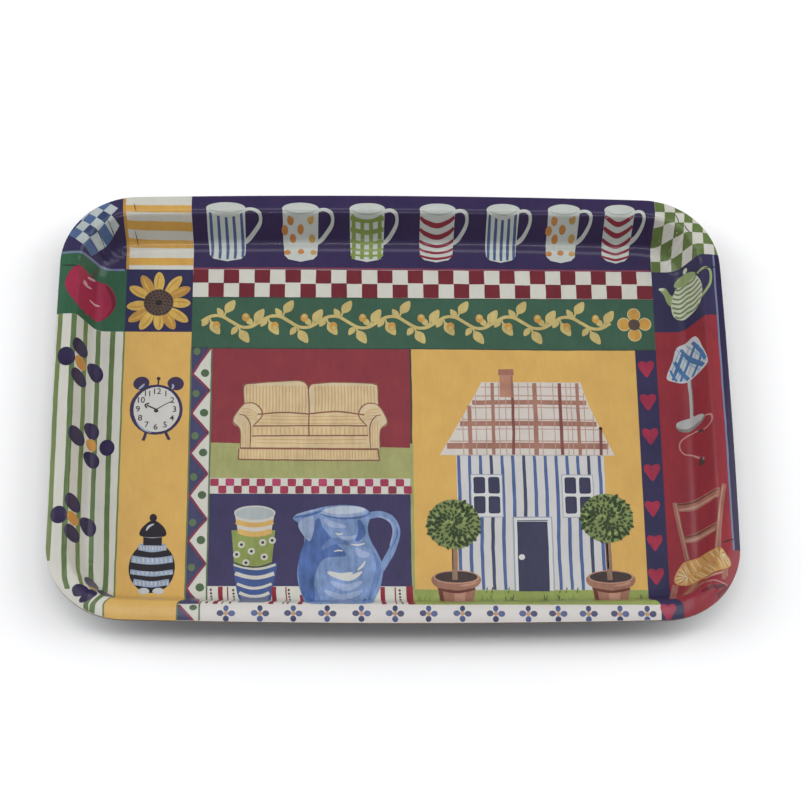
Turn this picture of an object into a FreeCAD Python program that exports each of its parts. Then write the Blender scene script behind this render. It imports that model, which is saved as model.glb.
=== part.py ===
import FreeCAD, Part
import math
import os
import Sketcher

# A one-piece serving tray pressed from a stack of thin sheets, in millimetres.
# +Z is up, +X runs along the long side, and the origin is under the middle of
# the tray on the plane it stands on. All the sheets are pressed together over
# one form, so each follows the same bends at its own depth below the top face,
# and every outline is the cut edge moved in by some inset.

doc = FreeCAD.newDocument("ServingTray")

# ------------------------------------------------------------- driving sizes
SIZES = [
    ("trayLength", 440),        # cut edge to cut edge, the long way
    ("trayWidth", 306),         # cut edge to cut edge, the short way
    ("longSideRadius", 6600),   # the long sides bulge a little
    ("shortSideRadius", 6100),  # and so do the short ones
    ("cornerRadius", 50.5),     # corner of the cut edge
    ("wellDepth", 26),          # from the floor up to the crest of the wall
    ("wallRun", 21),            # from the flat floor out to the crest
    ("lipWidth", 9.8),          # from the crest out to the cut edge
    ("footRadius", 9.5),        # bend from the floor into the wall
    ("crestRadius", 4.5),       # bend over the top of the wall
    ("lipRadius", 34),          # slow bend that turns the lip down
    ("overlaySheet", 0.10),     # clear hard-wearing film
    ("printSheet", 0.15),       # printed paper
    ("coreSheet", 0.25),        # one brown paper of the core
    ("backSheet", 0.20),        # plain sheet that keeps the tray from warping
]

sheet = doc.addObject("Spreadsheet::Sheet", "Sizes")
for row, (alias, value) in enumerate(SIZES, start=1):
    sheet.set("A%d" % row, alias)
    sheet.set("B%d" % row, "%g" % value)
    sheet.setAlias("B%d" % row, alias)
doc.recompute()


def size(alias):
    """A number from the sizes sheet."""
    return float(sheet.get(alias))


# ------------------------------------------------------------ the sheet stack
# From the top face down: node name, and the size that holds its thickness.
CORE_SHEETS = 5
STACK = [("overlay_film", "overlaySheet"), ("printed_sheet", "printSheet")]
STACK += [("core_sheet_%d" % number, "coreSheet") for number in range(1, CORE_SHEETS + 1)]
STACK += [("backing_sheet", "backSheet")]

TOTAL = " + ".join("Sizes." + thickness for _, thickness in STACK)


def depth_above(index):
    """Formula for the thickness of everything above a place in the stack."""
    return " + ".join(["0"] + ["Sizes." + thickness for _, thickness in STACK[:index]])


def depth_value(index):
    """The same thickness as a number."""
    return sum(size(thickness) for _, thickness in STACK[:index])


# ------------------------------------------------------------- sketch helpers
START, END, CENTRE = 1, 2, 3
ORIGIN = -1
X_LINE = -1
Y_LINE = -2
QUARTER = math.pi / 2.0


def point(x, y):
    return FreeCAD.Vector(x, y, 0)


def new_sketch(body, name, role):
    """An empty sketch on one of the body's own origin planes."""
    sketch = body.newObject("Sketcher::SketchObject", name)
    for feature in body.Origin.OriginFeatures:
        if feature.Role == role:
            sketch.AttachmentSupport = (feature, "")
    sketch.MapMode = "FlatFace"
    return sketch


def add_arc(sketch, centre, radius, start, end):
    """A counter-clockwise arc; the angles are in radians."""
    circle = Part.Circle(centre, FreeCAD.Vector(0, 0, 1), radius)
    return sketch.addGeometry(Part.ArcOfCircle(circle, start, end), False)


def add_line(sketch, start, end):
    return sketch.addGeometry(Part.LineSegment(start, end), False)


def fix(sketch, *definition):
    """A constraint with no size of its own."""
    sketch.addConstraint(Sketcher.Constraint(*definition))


def drive(sketch, name, formula, *definition):
    """A constraint whose size follows the sizes sheet."""
    number = sketch.addConstraint(Sketcher.Constraint(*definition))
    sketch.renameConstraint(number, name)
    sketch.setExpression("Constraints." + name, formula)


# --------------------------------------------------------- outline of the tray
def corner_centre(half_length, half_width, corner, long_radius, short_radius):
    """Centre of the corner arc that touches a long side arc and a short side arc."""
    long_y = half_width - long_radius
    short_x = half_length - short_radius
    long_reach = long_radius - corner
    short_reach = short_radius - corner
    apart = math.hypot(short_x, long_y)
    along = (long_reach ** 2 - short_reach ** 2 + apart ** 2) / (2.0 * apart)
    aside = math.sqrt(long_reach ** 2 - along ** 2)
    step_x = short_x / apart
    step_y = -long_y / apart
    return point(step_x * along + step_y * aside, long_y + step_y * along - step_x * aside)


def draw_outline(body, name, inset, inset_formula):
    """Closed ring of tangent arcs, inset from the cut edge, starting where +X cuts it."""
    sketch = new_sketch(body, name, "XY_Plane")
    half_length = size("trayLength") / 2.0 - inset
    half_width = size("trayWidth") / 2.0 - inset
    corner = size("cornerRadius") - inset
    long_radius = size("longSideRadius") - inset
    short_radius = size("shortSideRadius") - inset
    middle = corner_centre(half_length, half_width, corner, long_radius, short_radius)
    short_lean = math.asin(middle.y / (short_radius - corner))
    long_lean = math.acos(middle.x / (long_radius - corner))
    right = point(half_length - short_radius, 0)
    rear = point(0, half_width - long_radius)
    half_turn = math.pi
    full_turn = 2.0 * math.pi

    side_right = add_arc(sketch, right, short_radius, 0, short_lean)
    corner_1 = add_arc(sketch, middle, corner, short_lean, long_lean)
    side_rear = add_arc(sketch, rear, long_radius, long_lean, half_turn - long_lean)
    corner_2 = add_arc(sketch, point(-middle.x, middle.y), corner,
                       half_turn - long_lean, half_turn - short_lean)
    side_left = add_arc(sketch, right * -1, short_radius,
                        half_turn - short_lean, half_turn + short_lean)
    corner_3 = add_arc(sketch, middle * -1, corner,
                       half_turn + short_lean, half_turn + long_lean)
    side_front = add_arc(sketch, rear * -1, long_radius,
                         half_turn + long_lean, full_turn - long_lean)
    corner_4 = add_arc(sketch, point(middle.x, -middle.y), corner,
                       full_turn - long_lean, full_turn - short_lean)
    side_close = add_arc(sketch, right, short_radius, full_turn - short_lean, full_turn)

    ring = [side_right, corner_1, side_rear, corner_2, side_left,
            corner_3, side_front, corner_4, side_close]
    for before, after in zip(ring, ring[1:] + ring[:1]):
        fix(sketch, "Tangent", before, END, after, START)
    fix(sketch, "PointOnObject", side_right, START, X_LINE)
    for arc in (side_right, side_left):
        fix(sketch, "PointOnObject", arc, CENTRE, X_LINE)
    for arc in (side_rear, side_front):
        fix(sketch, "PointOnObject", arc, CENTRE, Y_LINE)
    fix(sketch, "Equal", side_right, side_left)
    fix(sketch, "Equal", side_right, side_close)
    fix(sketch, "Equal", side_rear, side_front)
    for arc in (corner_2, corner_3, corner_4):
        fix(sketch, "Equal", corner_1, arc)

    short_formula = "Sizes.shortSideRadius - (%s)" % inset_formula
    long_formula = "Sizes.longSideRadius - (%s)" % inset_formula
    short_offset = "Sizes.shortSideRadius - Sizes.trayLength / 2"
    long_offset = "Sizes.longSideRadius - Sizes.trayWidth / 2"
    drive(sketch, "shortSide", short_formula, "Radius", side_right, short_radius)
    drive(sketch, "longSide", long_formula, "Radius", side_rear, long_radius)
    drive(sketch, "corner", "Sizes.cornerRadius - (%s)" % inset_formula,
          "Radius", corner_1, corner)
    drive(sketch, "rightReach", short_offset,
          "DistanceX", side_right, CENTRE, ORIGIN, START, -right.x)
    drive(sketch, "leftReach", short_offset,
          "DistanceX", ORIGIN, START, side_left, CENTRE, -right.x)
    drive(sketch, "rearReach", long_offset,
          "DistanceY", side_rear, CENTRE, ORIGIN, START, -rear.y)
    drive(sketch, "frontReach", long_offset,
          "DistanceY", ORIGIN, START, side_front, CENTRE, -rear.y)
    return sketch


# ------------------------------------------------- profile of the wall and lip
def draw_profile(body, name, upper, upper_formula, lower, lower_formula):
    """Section of one sheet from the edge of the flat floor, up the wall, to the cut edge.

    It lies across the right-hand side. The two long curves are the upper and
    lower faces of the sheet, at their depths below the tray's top face.
    """
    sketch = new_sketch(body, name, "XZ_Plane")
    foot_radius = size("footRadius")
    crest_radius = size("crestRadius")
    lip_radius = size("lipRadius")
    total = depth_value(len(STACK))
    crest_x = size("trayLength") / 2.0 - size("lipWidth")
    foot_x = crest_x - size("wallRun")
    crest_top = total + size("wellDepth")
    foot = point(foot_x, total + foot_radius)
    crest = point(crest_x, crest_top - crest_radius)
    lip = point(crest_x, crest_top - lip_radius)
    between = crest - foot
    wall_angle = (math.atan2(between.y, between.x)
                  + math.asin((foot_radius + crest_radius) / between.Length))
    across_wall = point(math.sin(wall_angle), -math.cos(wall_angle))
    def lip_end(depth):
        """Angle of the lip arc, from upright, at the plumb-cut edge."""
        return math.asin(size("lipWidth") / (lip_radius - depth))

    def edge_point(depth):
        return lip + point(math.sin(lip_end(depth)), math.cos(lip_end(depth))) * (lip_radius - depth)

    def draw_face(depth):
        """Foot, wall, crest and lip of one face, joined end to end."""
        foot_arc = add_arc(sketch, foot, foot_radius + depth, -QUARTER, wall_angle - QUARTER)
        wall = add_line(sketch, foot + across_wall * (foot_radius + depth),
                        crest - across_wall * (crest_radius - depth))
        crest_arc = add_arc(sketch, crest, crest_radius - depth, QUARTER, wall_angle + QUARTER)
        lip_arc = add_arc(sketch, lip, lip_radius - depth, QUARTER - lip_end(depth), QUARTER)
        fix(sketch, "Tangent", foot_arc, END, wall, START)
        fix(sketch, "Tangent", wall, END, crest_arc, END)
        fix(sketch, "Tangent", crest_arc, START, lip_arc, END)
        fix(sketch, "Vertical", foot_arc, START, foot_arc, CENTRE)
        fix(sketch, "Vertical", crest_arc, CENTRE, lip_arc, CENTRE)
        return foot_arc, crest_arc, lip_arc

    def drive_radii(face, label, depth, depth_formula):
        foot_arc, crest_arc, lip_arc = face
        drive(sketch, label + "Foot", "Sizes.footRadius + (%s)" % depth_formula,
              "Radius", foot_arc, foot_radius + depth)
        drive(sketch, label + "Crest", "Sizes.crestRadius - (%s)" % depth_formula,
              "Radius", crest_arc, crest_radius - depth)
        drive(sketch, label + "Lip", "Sizes.lipRadius - (%s)" % depth_formula,
              "Radius", lip_arc, lip_radius - depth)

    top_face = draw_face(upper)
    under_face = draw_face(lower)
    inner_end = add_line(sketch, point(foot.x, total - upper), point(foot.x, total - lower))
    cut_edge = add_line(sketch, edge_point(upper), edge_point(lower))
    fix(sketch, "Coincident", inner_end, START, top_face[0], START)
    fix(sketch, "Coincident", inner_end, END, under_face[0], START)
    fix(sketch, "Coincident", cut_edge, START, top_face[2], START)
    fix(sketch, "Coincident", cut_edge, END, under_face[2], START)
    fix(sketch, "Coincident", top_face[0], CENTRE, under_face[0], CENTRE)
    fix(sketch, "Coincident", top_face[1], CENTRE, under_face[1], CENTRE)
    fix(sketch, "Vertical", cut_edge)

    drive_radii(top_face, "upper", upper, upper_formula)
    drive_radii(under_face, "lower", lower, lower_formula)
    drive(sketch, "footAcross", "Sizes.trayLength / 2 - Sizes.lipWidth - Sizes.wallRun",
          "DistanceX", ORIGIN, START, top_face[0], CENTRE, foot.x)
    drive(sketch, "footHeight", TOTAL + " + Sizes.footRadius",
          "DistanceY", ORIGIN, START, top_face[0], CENTRE, foot.y)
    drive(sketch, "crestAcross", "Sizes.trayLength / 2 - Sizes.lipWidth",
          "DistanceX", ORIGIN, START, top_face[1], CENTRE, crest.x)
    drive(sketch, "crestHeight", TOTAL + " + Sizes.wellDepth - Sizes.crestRadius",
          "DistanceY", ORIGIN, START, top_face[1], CENTRE, crest.y)
    drive(sketch, "reach", "Sizes.trayLength / 2",
          "DistanceX", ORIGIN, START, cut_edge, START, size("trayLength") / 2.0)
    return sketch


# ------------------------------------------------------------ one pressed sheet
def make_sheet(index, node, thickness):
    """A flat floor with the wall and lip swept round it."""
    upper = depth_value(index)
    lower = depth_value(index + 1)
    upper_formula = depth_above(index)
    lower_formula = depth_above(index + 1)
    floor_inset = size("lipWidth") + size("wallRun")

    body = doc.addObject("PartDesign::Body", node)
    body.Label = node
    floor_outline = draw_outline(body, node + "_floor_outline", floor_inset,
                                 "Sizes.lipWidth + Sizes.wallRun")
    floor_outline.setExpression("AttachmentOffset.Base.z",
                                "%s - (%s)" % (TOTAL, lower_formula))
    floor = body.newObject("PartDesign::Pad", node + "_floor")
    floor.Profile = floor_outline
    floor.setExpression("Length", "Sizes." + thickness)

    crest_line = draw_outline(body, node + "_crest_line", size("lipWidth"), "Sizes.lipWidth")
    profile = draw_profile(body, node + "_profile", upper, upper_formula, lower, lower_formula)
    wall = body.newObject("PartDesign::AdditivePipe", node + "_wall")
    wall.Profile = profile
    wall.Spine = crest_line
    wall.Mode = "Frenet"
    body.Tip = wall
    return body


bodies = []
for place, (node_name, thickness_name) in enumerate(STACK):
    bodies.append(make_sheet(place, node_name, thickness_name))
doc.recompute()

# ------------------------------------------------------------ check and export
for item in doc.Objects:
    broken = [state for state in item.State if state in ("Invalid", "Error")]
    if broken:
        raise RuntimeError("%s: %s" % (item.Name, broken))
    if item.TypeId == "Sketcher::SketchObject" and item.solve() != 0:
        raise RuntimeError("%s does not solve" % item.Name)

os.makedirs("parts", exist_ok=True)
for body in bodies:
    shape = body.Shape
    if shape.isNull() or not shape.isValid() or len(shape.Solids) != 1:
        raise RuntimeError("%s is not one valid solid" % body.Label)
    shape.exportStep("parts/%s.step" % body.Label)
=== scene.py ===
import math

import bmesh
import bpy
from mathutils import Matrix, Vector, noise


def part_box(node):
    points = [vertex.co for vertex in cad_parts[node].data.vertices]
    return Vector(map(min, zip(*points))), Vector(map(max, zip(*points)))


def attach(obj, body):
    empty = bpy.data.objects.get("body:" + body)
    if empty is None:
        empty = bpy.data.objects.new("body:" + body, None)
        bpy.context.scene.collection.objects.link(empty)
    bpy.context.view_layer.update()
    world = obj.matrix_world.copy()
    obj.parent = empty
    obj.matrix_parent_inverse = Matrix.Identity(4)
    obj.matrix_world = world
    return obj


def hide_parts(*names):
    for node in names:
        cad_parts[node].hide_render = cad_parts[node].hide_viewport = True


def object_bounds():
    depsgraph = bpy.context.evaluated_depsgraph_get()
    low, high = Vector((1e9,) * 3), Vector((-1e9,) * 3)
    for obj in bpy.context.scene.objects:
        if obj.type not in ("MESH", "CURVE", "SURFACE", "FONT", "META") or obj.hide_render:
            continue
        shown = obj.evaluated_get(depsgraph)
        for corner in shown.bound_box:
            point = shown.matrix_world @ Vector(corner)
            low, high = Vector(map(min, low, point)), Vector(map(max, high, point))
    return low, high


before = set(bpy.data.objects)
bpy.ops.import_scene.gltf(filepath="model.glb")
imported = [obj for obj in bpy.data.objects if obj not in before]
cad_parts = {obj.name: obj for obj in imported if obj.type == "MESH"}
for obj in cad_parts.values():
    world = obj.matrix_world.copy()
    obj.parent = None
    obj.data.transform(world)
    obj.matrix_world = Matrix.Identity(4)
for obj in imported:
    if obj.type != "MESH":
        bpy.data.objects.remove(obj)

CAD_LOW, CAD_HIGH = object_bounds()
MM = 0.001

# ---------------------------------------------------------------- pressed form
# The printed sheet and the clear film over it take one dished shape: a flat
# floor, a steep wall with a bend at its foot and crest, and a lip that turns
# slowly down to a plumb-cut edge. All drawing is in millimetres on the plan.
film_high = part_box("overlay_film")[1]
HALF_LENGTH = film_high.x / MM
HALF_WIDTH = film_high.y / MM
CREST_TOP = film_high.z / MM
LIP_WIDTH = 9.8
LIP_RADIUS = 34.0
CREST_RADIUS = 4.5
FOOT_RADIUS = 9.5
WALL_RUN = 21.0
WELL_DEPTH = 26.0
CORNER_RADIUS = 50.5
LONG_RADIUS = 6600.0
SHORT_RADIUS = 6100.0
FLOOR_TOP = CREST_TOP - WELL_DEPTH
NEAR_FOOT = HALF_WIDTH - LIP_WIDTH - WALL_RUN
END_FOOT = HALF_LENGTH - LIP_WIDTH - WALL_RUN
PUCKER_HEIGHT = 1.1
PUCKER_INSET = 3.0                               # the gathers start this far in from the edge
PUCKER_RUN = 27.5                                # and run this far down the wall
GATHERS = 13.0                                   # waves to a radian round the corner
GATHER_SLANT = 0.035                             # radians a wave leans for each millimetre down
NEAR_GATHER, NEAR_SPREAD, FAR_GATHER = 0.008, 0.033, 0.007
LONG_CENTRE = HALF_WIDTH - LONG_RADIUS
SHORT_CENTRE = HALF_LENGTH - SHORT_RADIUS


def corner_centre():
    """Where the corner arc has its centre, so that it touches both bowed sides."""
    long_reach = LONG_RADIUS - CORNER_RADIUS
    short_reach = SHORT_RADIUS - CORNER_RADIUS
    apart = math.hypot(SHORT_CENTRE, LONG_CENTRE)
    along = (long_reach ** 2 - short_reach ** 2 + apart ** 2) / (2.0 * apart)
    aside = math.sqrt(long_reach ** 2 - along ** 2)
    step = Vector((SHORT_CENTRE, -LONG_CENTRE)) / apart
    return Vector((0.0, LONG_CENTRE)) + step * along + Vector((step.y, -step.x)) * aside


CORNER = corner_centre()
foot_to_crest = WELL_DEPTH - CREST_RADIUS - FOOT_RADIUS
WALL_ANGLE = (math.atan2(foot_to_crest, WALL_RUN)
              + math.asin((FOOT_RADIUS + CREST_RADIUS) / math.hypot(WALL_RUN, foot_to_crest)))


def inset_at(x, y):
    """How far a plan point lies in from the cut edge."""
    x, y = abs(x), abs(y)
    past_long = x * (CORNER.y - LONG_CENTRE) - (y - LONG_CENTRE) * CORNER.x > 0
    past_short = y * (CORNER.x - SHORT_CENTRE) - (x - SHORT_CENTRE) * CORNER.y > 0
    if past_long and past_short:
        return CORNER_RADIUS - math.hypot(x - CORNER.x, y - CORNER.y)
    return min(LONG_RADIUS - math.hypot(x, y - LONG_CENTRE),
               SHORT_RADIUS - math.hypot(x - SHORT_CENTRE, y))


def height_at(inset):
    """Height of the top face at that inset."""
    out = LIP_WIDTH - inset                      # outwards from the crest
    if out >= 0:
        return CREST_TOP - LIP_RADIUS + math.sqrt(LIP_RADIUS ** 2 - min(out, LIP_WIDTH) ** 2)
    if out >= -CREST_RADIUS * math.sin(WALL_ANGLE):
        return CREST_TOP - CREST_RADIUS + math.sqrt(CREST_RADIUS ** 2 - out ** 2)
    up = out + WALL_RUN                          # outwards from the foot
    if up <= 0:
        return FLOOR_TOP
    bend = FOOT_RADIUS * math.sin(WALL_ANGLE)
    if up <= bend:
        return FLOOR_TOP + FOOT_RADIUS - math.sqrt(FOOT_RADIUS ** 2 - up ** 2)
    return FLOOR_TOP + FOOT_RADIUS * (1 - math.cos(WALL_ANGLE)) + (up - bend) * math.tan(WALL_ANGLE)


def pucker_at(x, y, inset):
    """Extra height where the paper gathered up as each corner was drawn in."""
    over_x, over_y = abs(x) - CORNER.x, abs(y) - CORNER.y
    if over_x < -3 or over_y < -3 or inset < PUCKER_INSET:
        return 0.0
    turn = math.atan2(over_y, over_x)
    fade = max(0.0, math.sin(max(0.0, min(turn, math.pi / 2)) * 2.0))
    down = max(0.0, min((inset - PUCKER_INSET) / PUCKER_RUN, 1.0))
    band = math.sin(math.pi * down ** 1.3)
    lean = GATHER_SLANT * inset * math.copysign(1.0, x * y)
    where = Vector((math.copysign(1.0, x) * 3.0 + turn * 4.0, math.copysign(1.0, y) * 5.0, inset * 0.05))
    wave = math.sin(GATHERS * turn + lean + 3.5 * noise.noise(where))
    return PUCKER_HEIGHT * fade * band * max(0.0, wave) ** 1.5


def face_height(x, y):
    """Height of the printed face over a plan point."""
    inset = inset_at(x, y)
    return height_at(inset) + pucker_at(x, y, inset)


def ease(value):
    """Goes smoothly from 0 to 1 as the value does."""
    value = max(0.0, min(value, 1.0))
    return value * value * (3.0 - 2.0 * value)


def drawn_out(y):
    """How much the print's length changes where the near and far walls were drawn down.

    On the near side it gathers a little round the foot, then spreads over the crest."""
    past_foot = -y - NEAR_FOOT
    gathered = NEAR_GATHER * ease(past_foot / 12.0)
    spread = NEAR_SPREAD * ease((past_foot - 11.0) / 9.0)
    far = FAR_GATHER * ease((y - NEAR_FOOT) / WALL_RUN)
    return 1.0 - gathered + spread + far


# ---------------------------------------------------------------- paints
# The pattern was painted in gouache and then printed: every colour pools and
# thins with the brush, under a clear film that gives it an even soft gloss.
FILM_COAT = 0.25
FILM_ROUGHNESS = 0.16
PAINT_SHINE = 0.15
GRAIN_DEPTH = 0.1 * MM


def shader_node(nodes, kind, **values):
    """A new shader node of a kind, with values on the inputs named."""
    made = nodes.new("ShaderNode" + kind)
    for name, value in values.items():
        made.inputs[name.replace("_", " ")].default_value = value
    return made


def plain_math(nodes, operation, values):
    """A maths node, with values on the inputs numbered."""
    made = nodes.new("ShaderNodeMath")
    made.operation = operation
    for place, value in values.items():
        made.inputs[place].default_value = value
    return made


def brushwork_group():
    """Paint that pools, streaks along the brush and drifts in hue, over paper tooth."""
    group = bpy.data.node_groups.new("brushwork", "ShaderNodeTree")
    sockets = group.interface
    sockets.new_socket("Paint", in_out="INPUT", socket_type="NodeSocketColor")
    sockets.new_socket("Pooling", in_out="INPUT", socket_type="NodeSocketFloat")
    sockets.new_socket("Colour", in_out="OUTPUT", socket_type="NodeSocketColor")
    sockets.new_socket("Roughness", in_out="OUTPUT", socket_type="NodeSocketFloat")
    sockets.new_socket("Tooth", in_out="OUTPUT", socket_type="NodeSocketFloat")
    nodes, links = group.nodes, group.links
    given = nodes.new("NodeGroupInput")
    result = nodes.new("NodeGroupOutput")
    place = nodes.new("ShaderNodeTexCoord")

    # broad pools of thicker and thinner paint, streaks across the strokes, and the tooth of the paper
    pools = shader_node(nodes, "TexNoise", Scale=55.0, Detail=3.0)
    streak_place = shader_node(nodes, "Mapping", Scale=(1.0, 0.28, 0.6))
    streaks = shader_node(nodes, "TexNoise", Scale=420.0, Detail=2.0)
    tooth = shader_node(nodes, "TexNoise", Scale=1500.0, Detail=2.0)
    links.new(place.outputs["Object"], pools.inputs["Vector"])
    links.new(place.outputs["Object"], streak_place.inputs["Vector"])
    links.new(streak_place.outputs["Vector"], streaks.inputs["Vector"])
    links.new(place.outputs["Object"], tooth.inputs["Vector"])

    both = plain_math(nodes, "MULTIPLY_ADD", {1: 1.4})
    links.new(pools.outputs["Fac"], both.inputs[0])
    links.new(streaks.outputs["Fac"], both.inputs[2])
    level = plain_math(nodes, "SUBTRACT", {1: 1.2})
    links.new(both.outputs["Value"], level.inputs[0])
    value = plain_math(nodes, "MULTIPLY_ADD", {2: 1.0})
    links.new(level.outputs["Value"], value.inputs[0])
    links.new(given.outputs["Pooling"], value.inputs[1])
    hue = shader_node(nodes, "MapRange", To_Min=0.493, To_Max=0.507)
    links.new(pools.outputs["Fac"], hue.inputs["Value"])
    shade = nodes.new("ShaderNodeHueSaturation")
    links.new(hue.outputs["Result"], shade.inputs["Hue"])
    links.new(value.outputs["Value"], shade.inputs["Value"])
    links.new(given.outputs["Paint"], shade.inputs["Color"])
    links.new(shade.outputs["Color"], result.inputs["Colour"])

    gloss = shader_node(nodes, "MapRange", To_Min=0.34, To_Max=0.50)
    links.new(pools.outputs["Fac"], gloss.inputs["Value"])
    links.new(gloss.outputs["Result"], result.inputs["Roughness"])
    links.new(tooth.outputs["Fac"], result.inputs["Tooth"])
    return group


BRUSHWORK = brushwork_group()


def paint(name, colour, pooling=0.25):
    """One gouache colour under the film."""
    material = bpy.data.materials.new(name + "_paint")
    material.use_nodes = True
    nodes, links = material.node_tree.nodes, material.node_tree.links
    shader = nodes["Principled BSDF"]
    shader.inputs["Specular IOR Level"].default_value = PAINT_SHINE
    shader.inputs["Coat Weight"].default_value = FILM_COAT
    shader.inputs["Coat Roughness"].default_value = FILM_ROUGHNESS
    brush = nodes.new("ShaderNodeGroup")
    brush.node_tree = BRUSHWORK
    brush.inputs["Paint"].default_value = (*colour, 1.0)
    brush.inputs["Pooling"].default_value = pooling
    grain = shader_node(nodes, "Bump", Strength=0.12, Distance=GRAIN_DEPTH)
    links.new(brush.outputs["Colour"], shader.inputs["Base Color"])
    links.new(brush.outputs["Roughness"], shader.inputs["Roughness"])
    links.new(brush.outputs["Tooth"], grain.inputs["Height"])
    links.new(grain.outputs["Normal"], shader.inputs["Normal"])
    return material


def palette(**mixes):
    """The colours of one drawing in the order of its inks: red, green, blue, and how much each pools."""
    return [paint(name, mix[:3], mix[3]) for name, mix in mixes.items()]


# ---------------------------------------------------------------- printed face
# One sheet of decor paper with its clear film, pressed to shape with the rest.
# It is made here in the patches its pattern is divided into, edge to edge.
PRINT_THICKNESS = 0.22
LIP_STEPS, CREST_STEPS, WALL_STEPS, FOOT_STEPS = 5, 8, 6, 10
SHORT_STEPS, CORNER_STEPS, LONG_STEPS = 14, 72, 22
SHORT_SWEEP = math.atan2(CORNER.y, CORNER.x - SHORT_CENTRE)
LONG_SWEEP = math.atan2(CORNER.x, CORNER.y - LONG_CENTRE)
CORNER_SWEEP = math.pi / 2 - SHORT_SWEEP - LONG_SWEEP


def profile_insets():
    """Insets of the rings, close together round the two bends."""
    lip = [LIP_WIDTH * step / LIP_STEPS for step in range(LIP_STEPS)]
    crest = [LIP_WIDTH + CREST_RADIUS * math.sin(WALL_ANGLE * step / CREST_STEPS)
             for step in range(CREST_STEPS + 1)]
    foot = [LIP_WIDTH + WALL_RUN - FOOT_RADIUS * math.sin(WALL_ANGLE * step / FOOT_STEPS)
            for step in range(FOOT_STEPS, -1, -1)]
    wall = [crest[-1] + (foot[0] - crest[-1]) * step / WALL_STEPS for step in range(1, WALL_STEPS)]
    return lip + crest + wall + foot


def face_in_plan():
    """The whole face seen flat: the profile swept round a quarter, mirrored, and floored."""
    bm = bmesh.new()
    chain = [bm.verts.new((HALF_LENGTH - inset, 0, 0)) for inset in profile_insets()]
    for outer, inner in zip(chain, chain[1:]):
        bm.edges.new((outer, inner))
    front = bm.verts[:] + bm.edges[:]
    for centre, sweep, steps in (
        ((SHORT_CENTRE, 0, 0), SHORT_SWEEP, SHORT_STEPS),
        ((CORNER.x, CORNER.y, 0), CORNER_SWEEP, CORNER_STEPS),
        ((0, LONG_CENTRE, 0), LONG_SWEEP, LONG_STEPS),
    ):
        swept = bmesh.ops.spin(bm, geom=front, cent=centre, axis=(0, 0, 1), angle=sweep, steps=steps)
        front = swept["geom_last"]
    for axis in ("X", "Y"):
        bmesh.ops.mirror(bm, geom=bm.verts[:] + bm.edges[:] + bm.faces[:], axis=axis, merge_dist=0.001)
    bmesh.ops.remove_doubles(bm, verts=bm.verts, dist=0.01)
    inside = LIP_WIDTH + WALL_RUN - 0.5
    rim = [e for e in bm.edges if e.is_boundary and inset_at(*e.verts[0].co.xy) > inside]
    bmesh.ops.edgeloop_fill(bm, edges=rim)
    for face in bm.faces:
        face.normal_update()
        if face.normal.z < 0:
            face.normal_flip()
    for v in bm.verts:
        v.co.x /= drawn_out(v.co.y)
    return bm


def shape_object(name, bm, paints, thickness):
    """A finished paper or ink layer: shaded smooth, thickened downwards, riding the tray."""
    for face in bm.faces:
        face.smooth = True
    for edge in bm.edges:
        edge.smooth = not edge.is_boundary
    bmesh.ops.scale(bm, vec=(MM, MM, MM), verts=bm.verts)
    mesh = bpy.data.meshes.new(name)
    bm.to_mesh(mesh)
    bm.free()
    for material in paints:
        mesh.materials.append(material)
    piece = bpy.data.objects.new(name, mesh)
    bpy.context.collection.objects.link(piece)
    sheet = piece.modifiers.new("thickness", "SOLIDIFY")
    sheet.thickness = thickness * MM
    sheet.offset = -1.0
    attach(piece, "root")
    return piece


WHOLE_FACE = face_in_plan()
OUTSIDE = 260.0                                   # beyond every edge


def patch(name, left, right, near, far, material):
    """The part of the face between four straight lines of the pattern."""
    bm = WHOLE_FACE.copy()
    for place, outwards in (
        ((left, 0, 0), (-1, 0, 0)),
        ((right, 0, 0), (1, 0, 0)),
        ((0, near, 0), (0, -1, 0)),
        ((0, far, 0), (0, 1, 0)),
    ):
        everything = bm.verts[:] + bm.edges[:] + bm.faces[:]
        bmesh.ops.bisect_plane(bm, geom=everything, dist=0.0005, plane_co=place, plane_no=outwards,
                               clear_outer=True)
    for v in bm.verts:
        x, y = v.co.x * drawn_out(v.co.y), v.co.y
        v.co = (x, y, face_height(x, y))
    piece = shape_object("face_" + name, bm, [material], PRINT_THICKNESS)
    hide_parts("overlay_film", "printed_sheet")
    return piece


# lines of the pattern, from left to right and from near to far
STRIPES_END = -177.0
BAND_START = -132.5
ZIGZAG_END = -118.5
MIDDLE = 12.5
HOUSE_END = 162.5
HEARTS_END = 176.5
RIM_LINE = 214.8
LIP_LINE = -141.2
CLOTH_LINE = -119.0
SMALL_CHECKS = (-55.0, -44.0)
SOFA_FLOOR = -22.2
BANNER = (50.0, 88.0)
CHECKS_TOP = 109.5
PANEL_FOOT = 62.0
CORNER_LINE = 109.0
RIM_END = -104.0

# ---------------------------------------------------------------- striped border
# The left border is a linen stripe with scattered four-petal flowers. Every
# painted shape is a thin film of ink, drawn flat and pressed with the paper.
INK_STEP = 0.02                                   # each coat of ink lies on the last
INK_LIFT = 0.05
INK_THICKNESS = 0.012
FINE_FOLD = 0.45                                  # spacing of divisions on the bends
FLAT_FOLD = 4.0                                   # and where the floor is flat
EDGE_MARGIN = 0.25                                # bare paper left at the very edge
OVAL_SIDES = 28
SPAN_STEPS = 5                                    # divisions of a line between two of its points
WANDER = 0.22                                     # unsteadiness of a hand-drawn line
HAND = 5                                          # seed of that unsteadiness, the same in every run
noise.seed_set(HAND)


def coat_height(art, layer):
    """Height of a coat of ink; shapes in one coat differ a hair, so that none lie at one level."""
    return (layer + (len(art.faces) % 7) / 8.0) * INK_STEP


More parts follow.
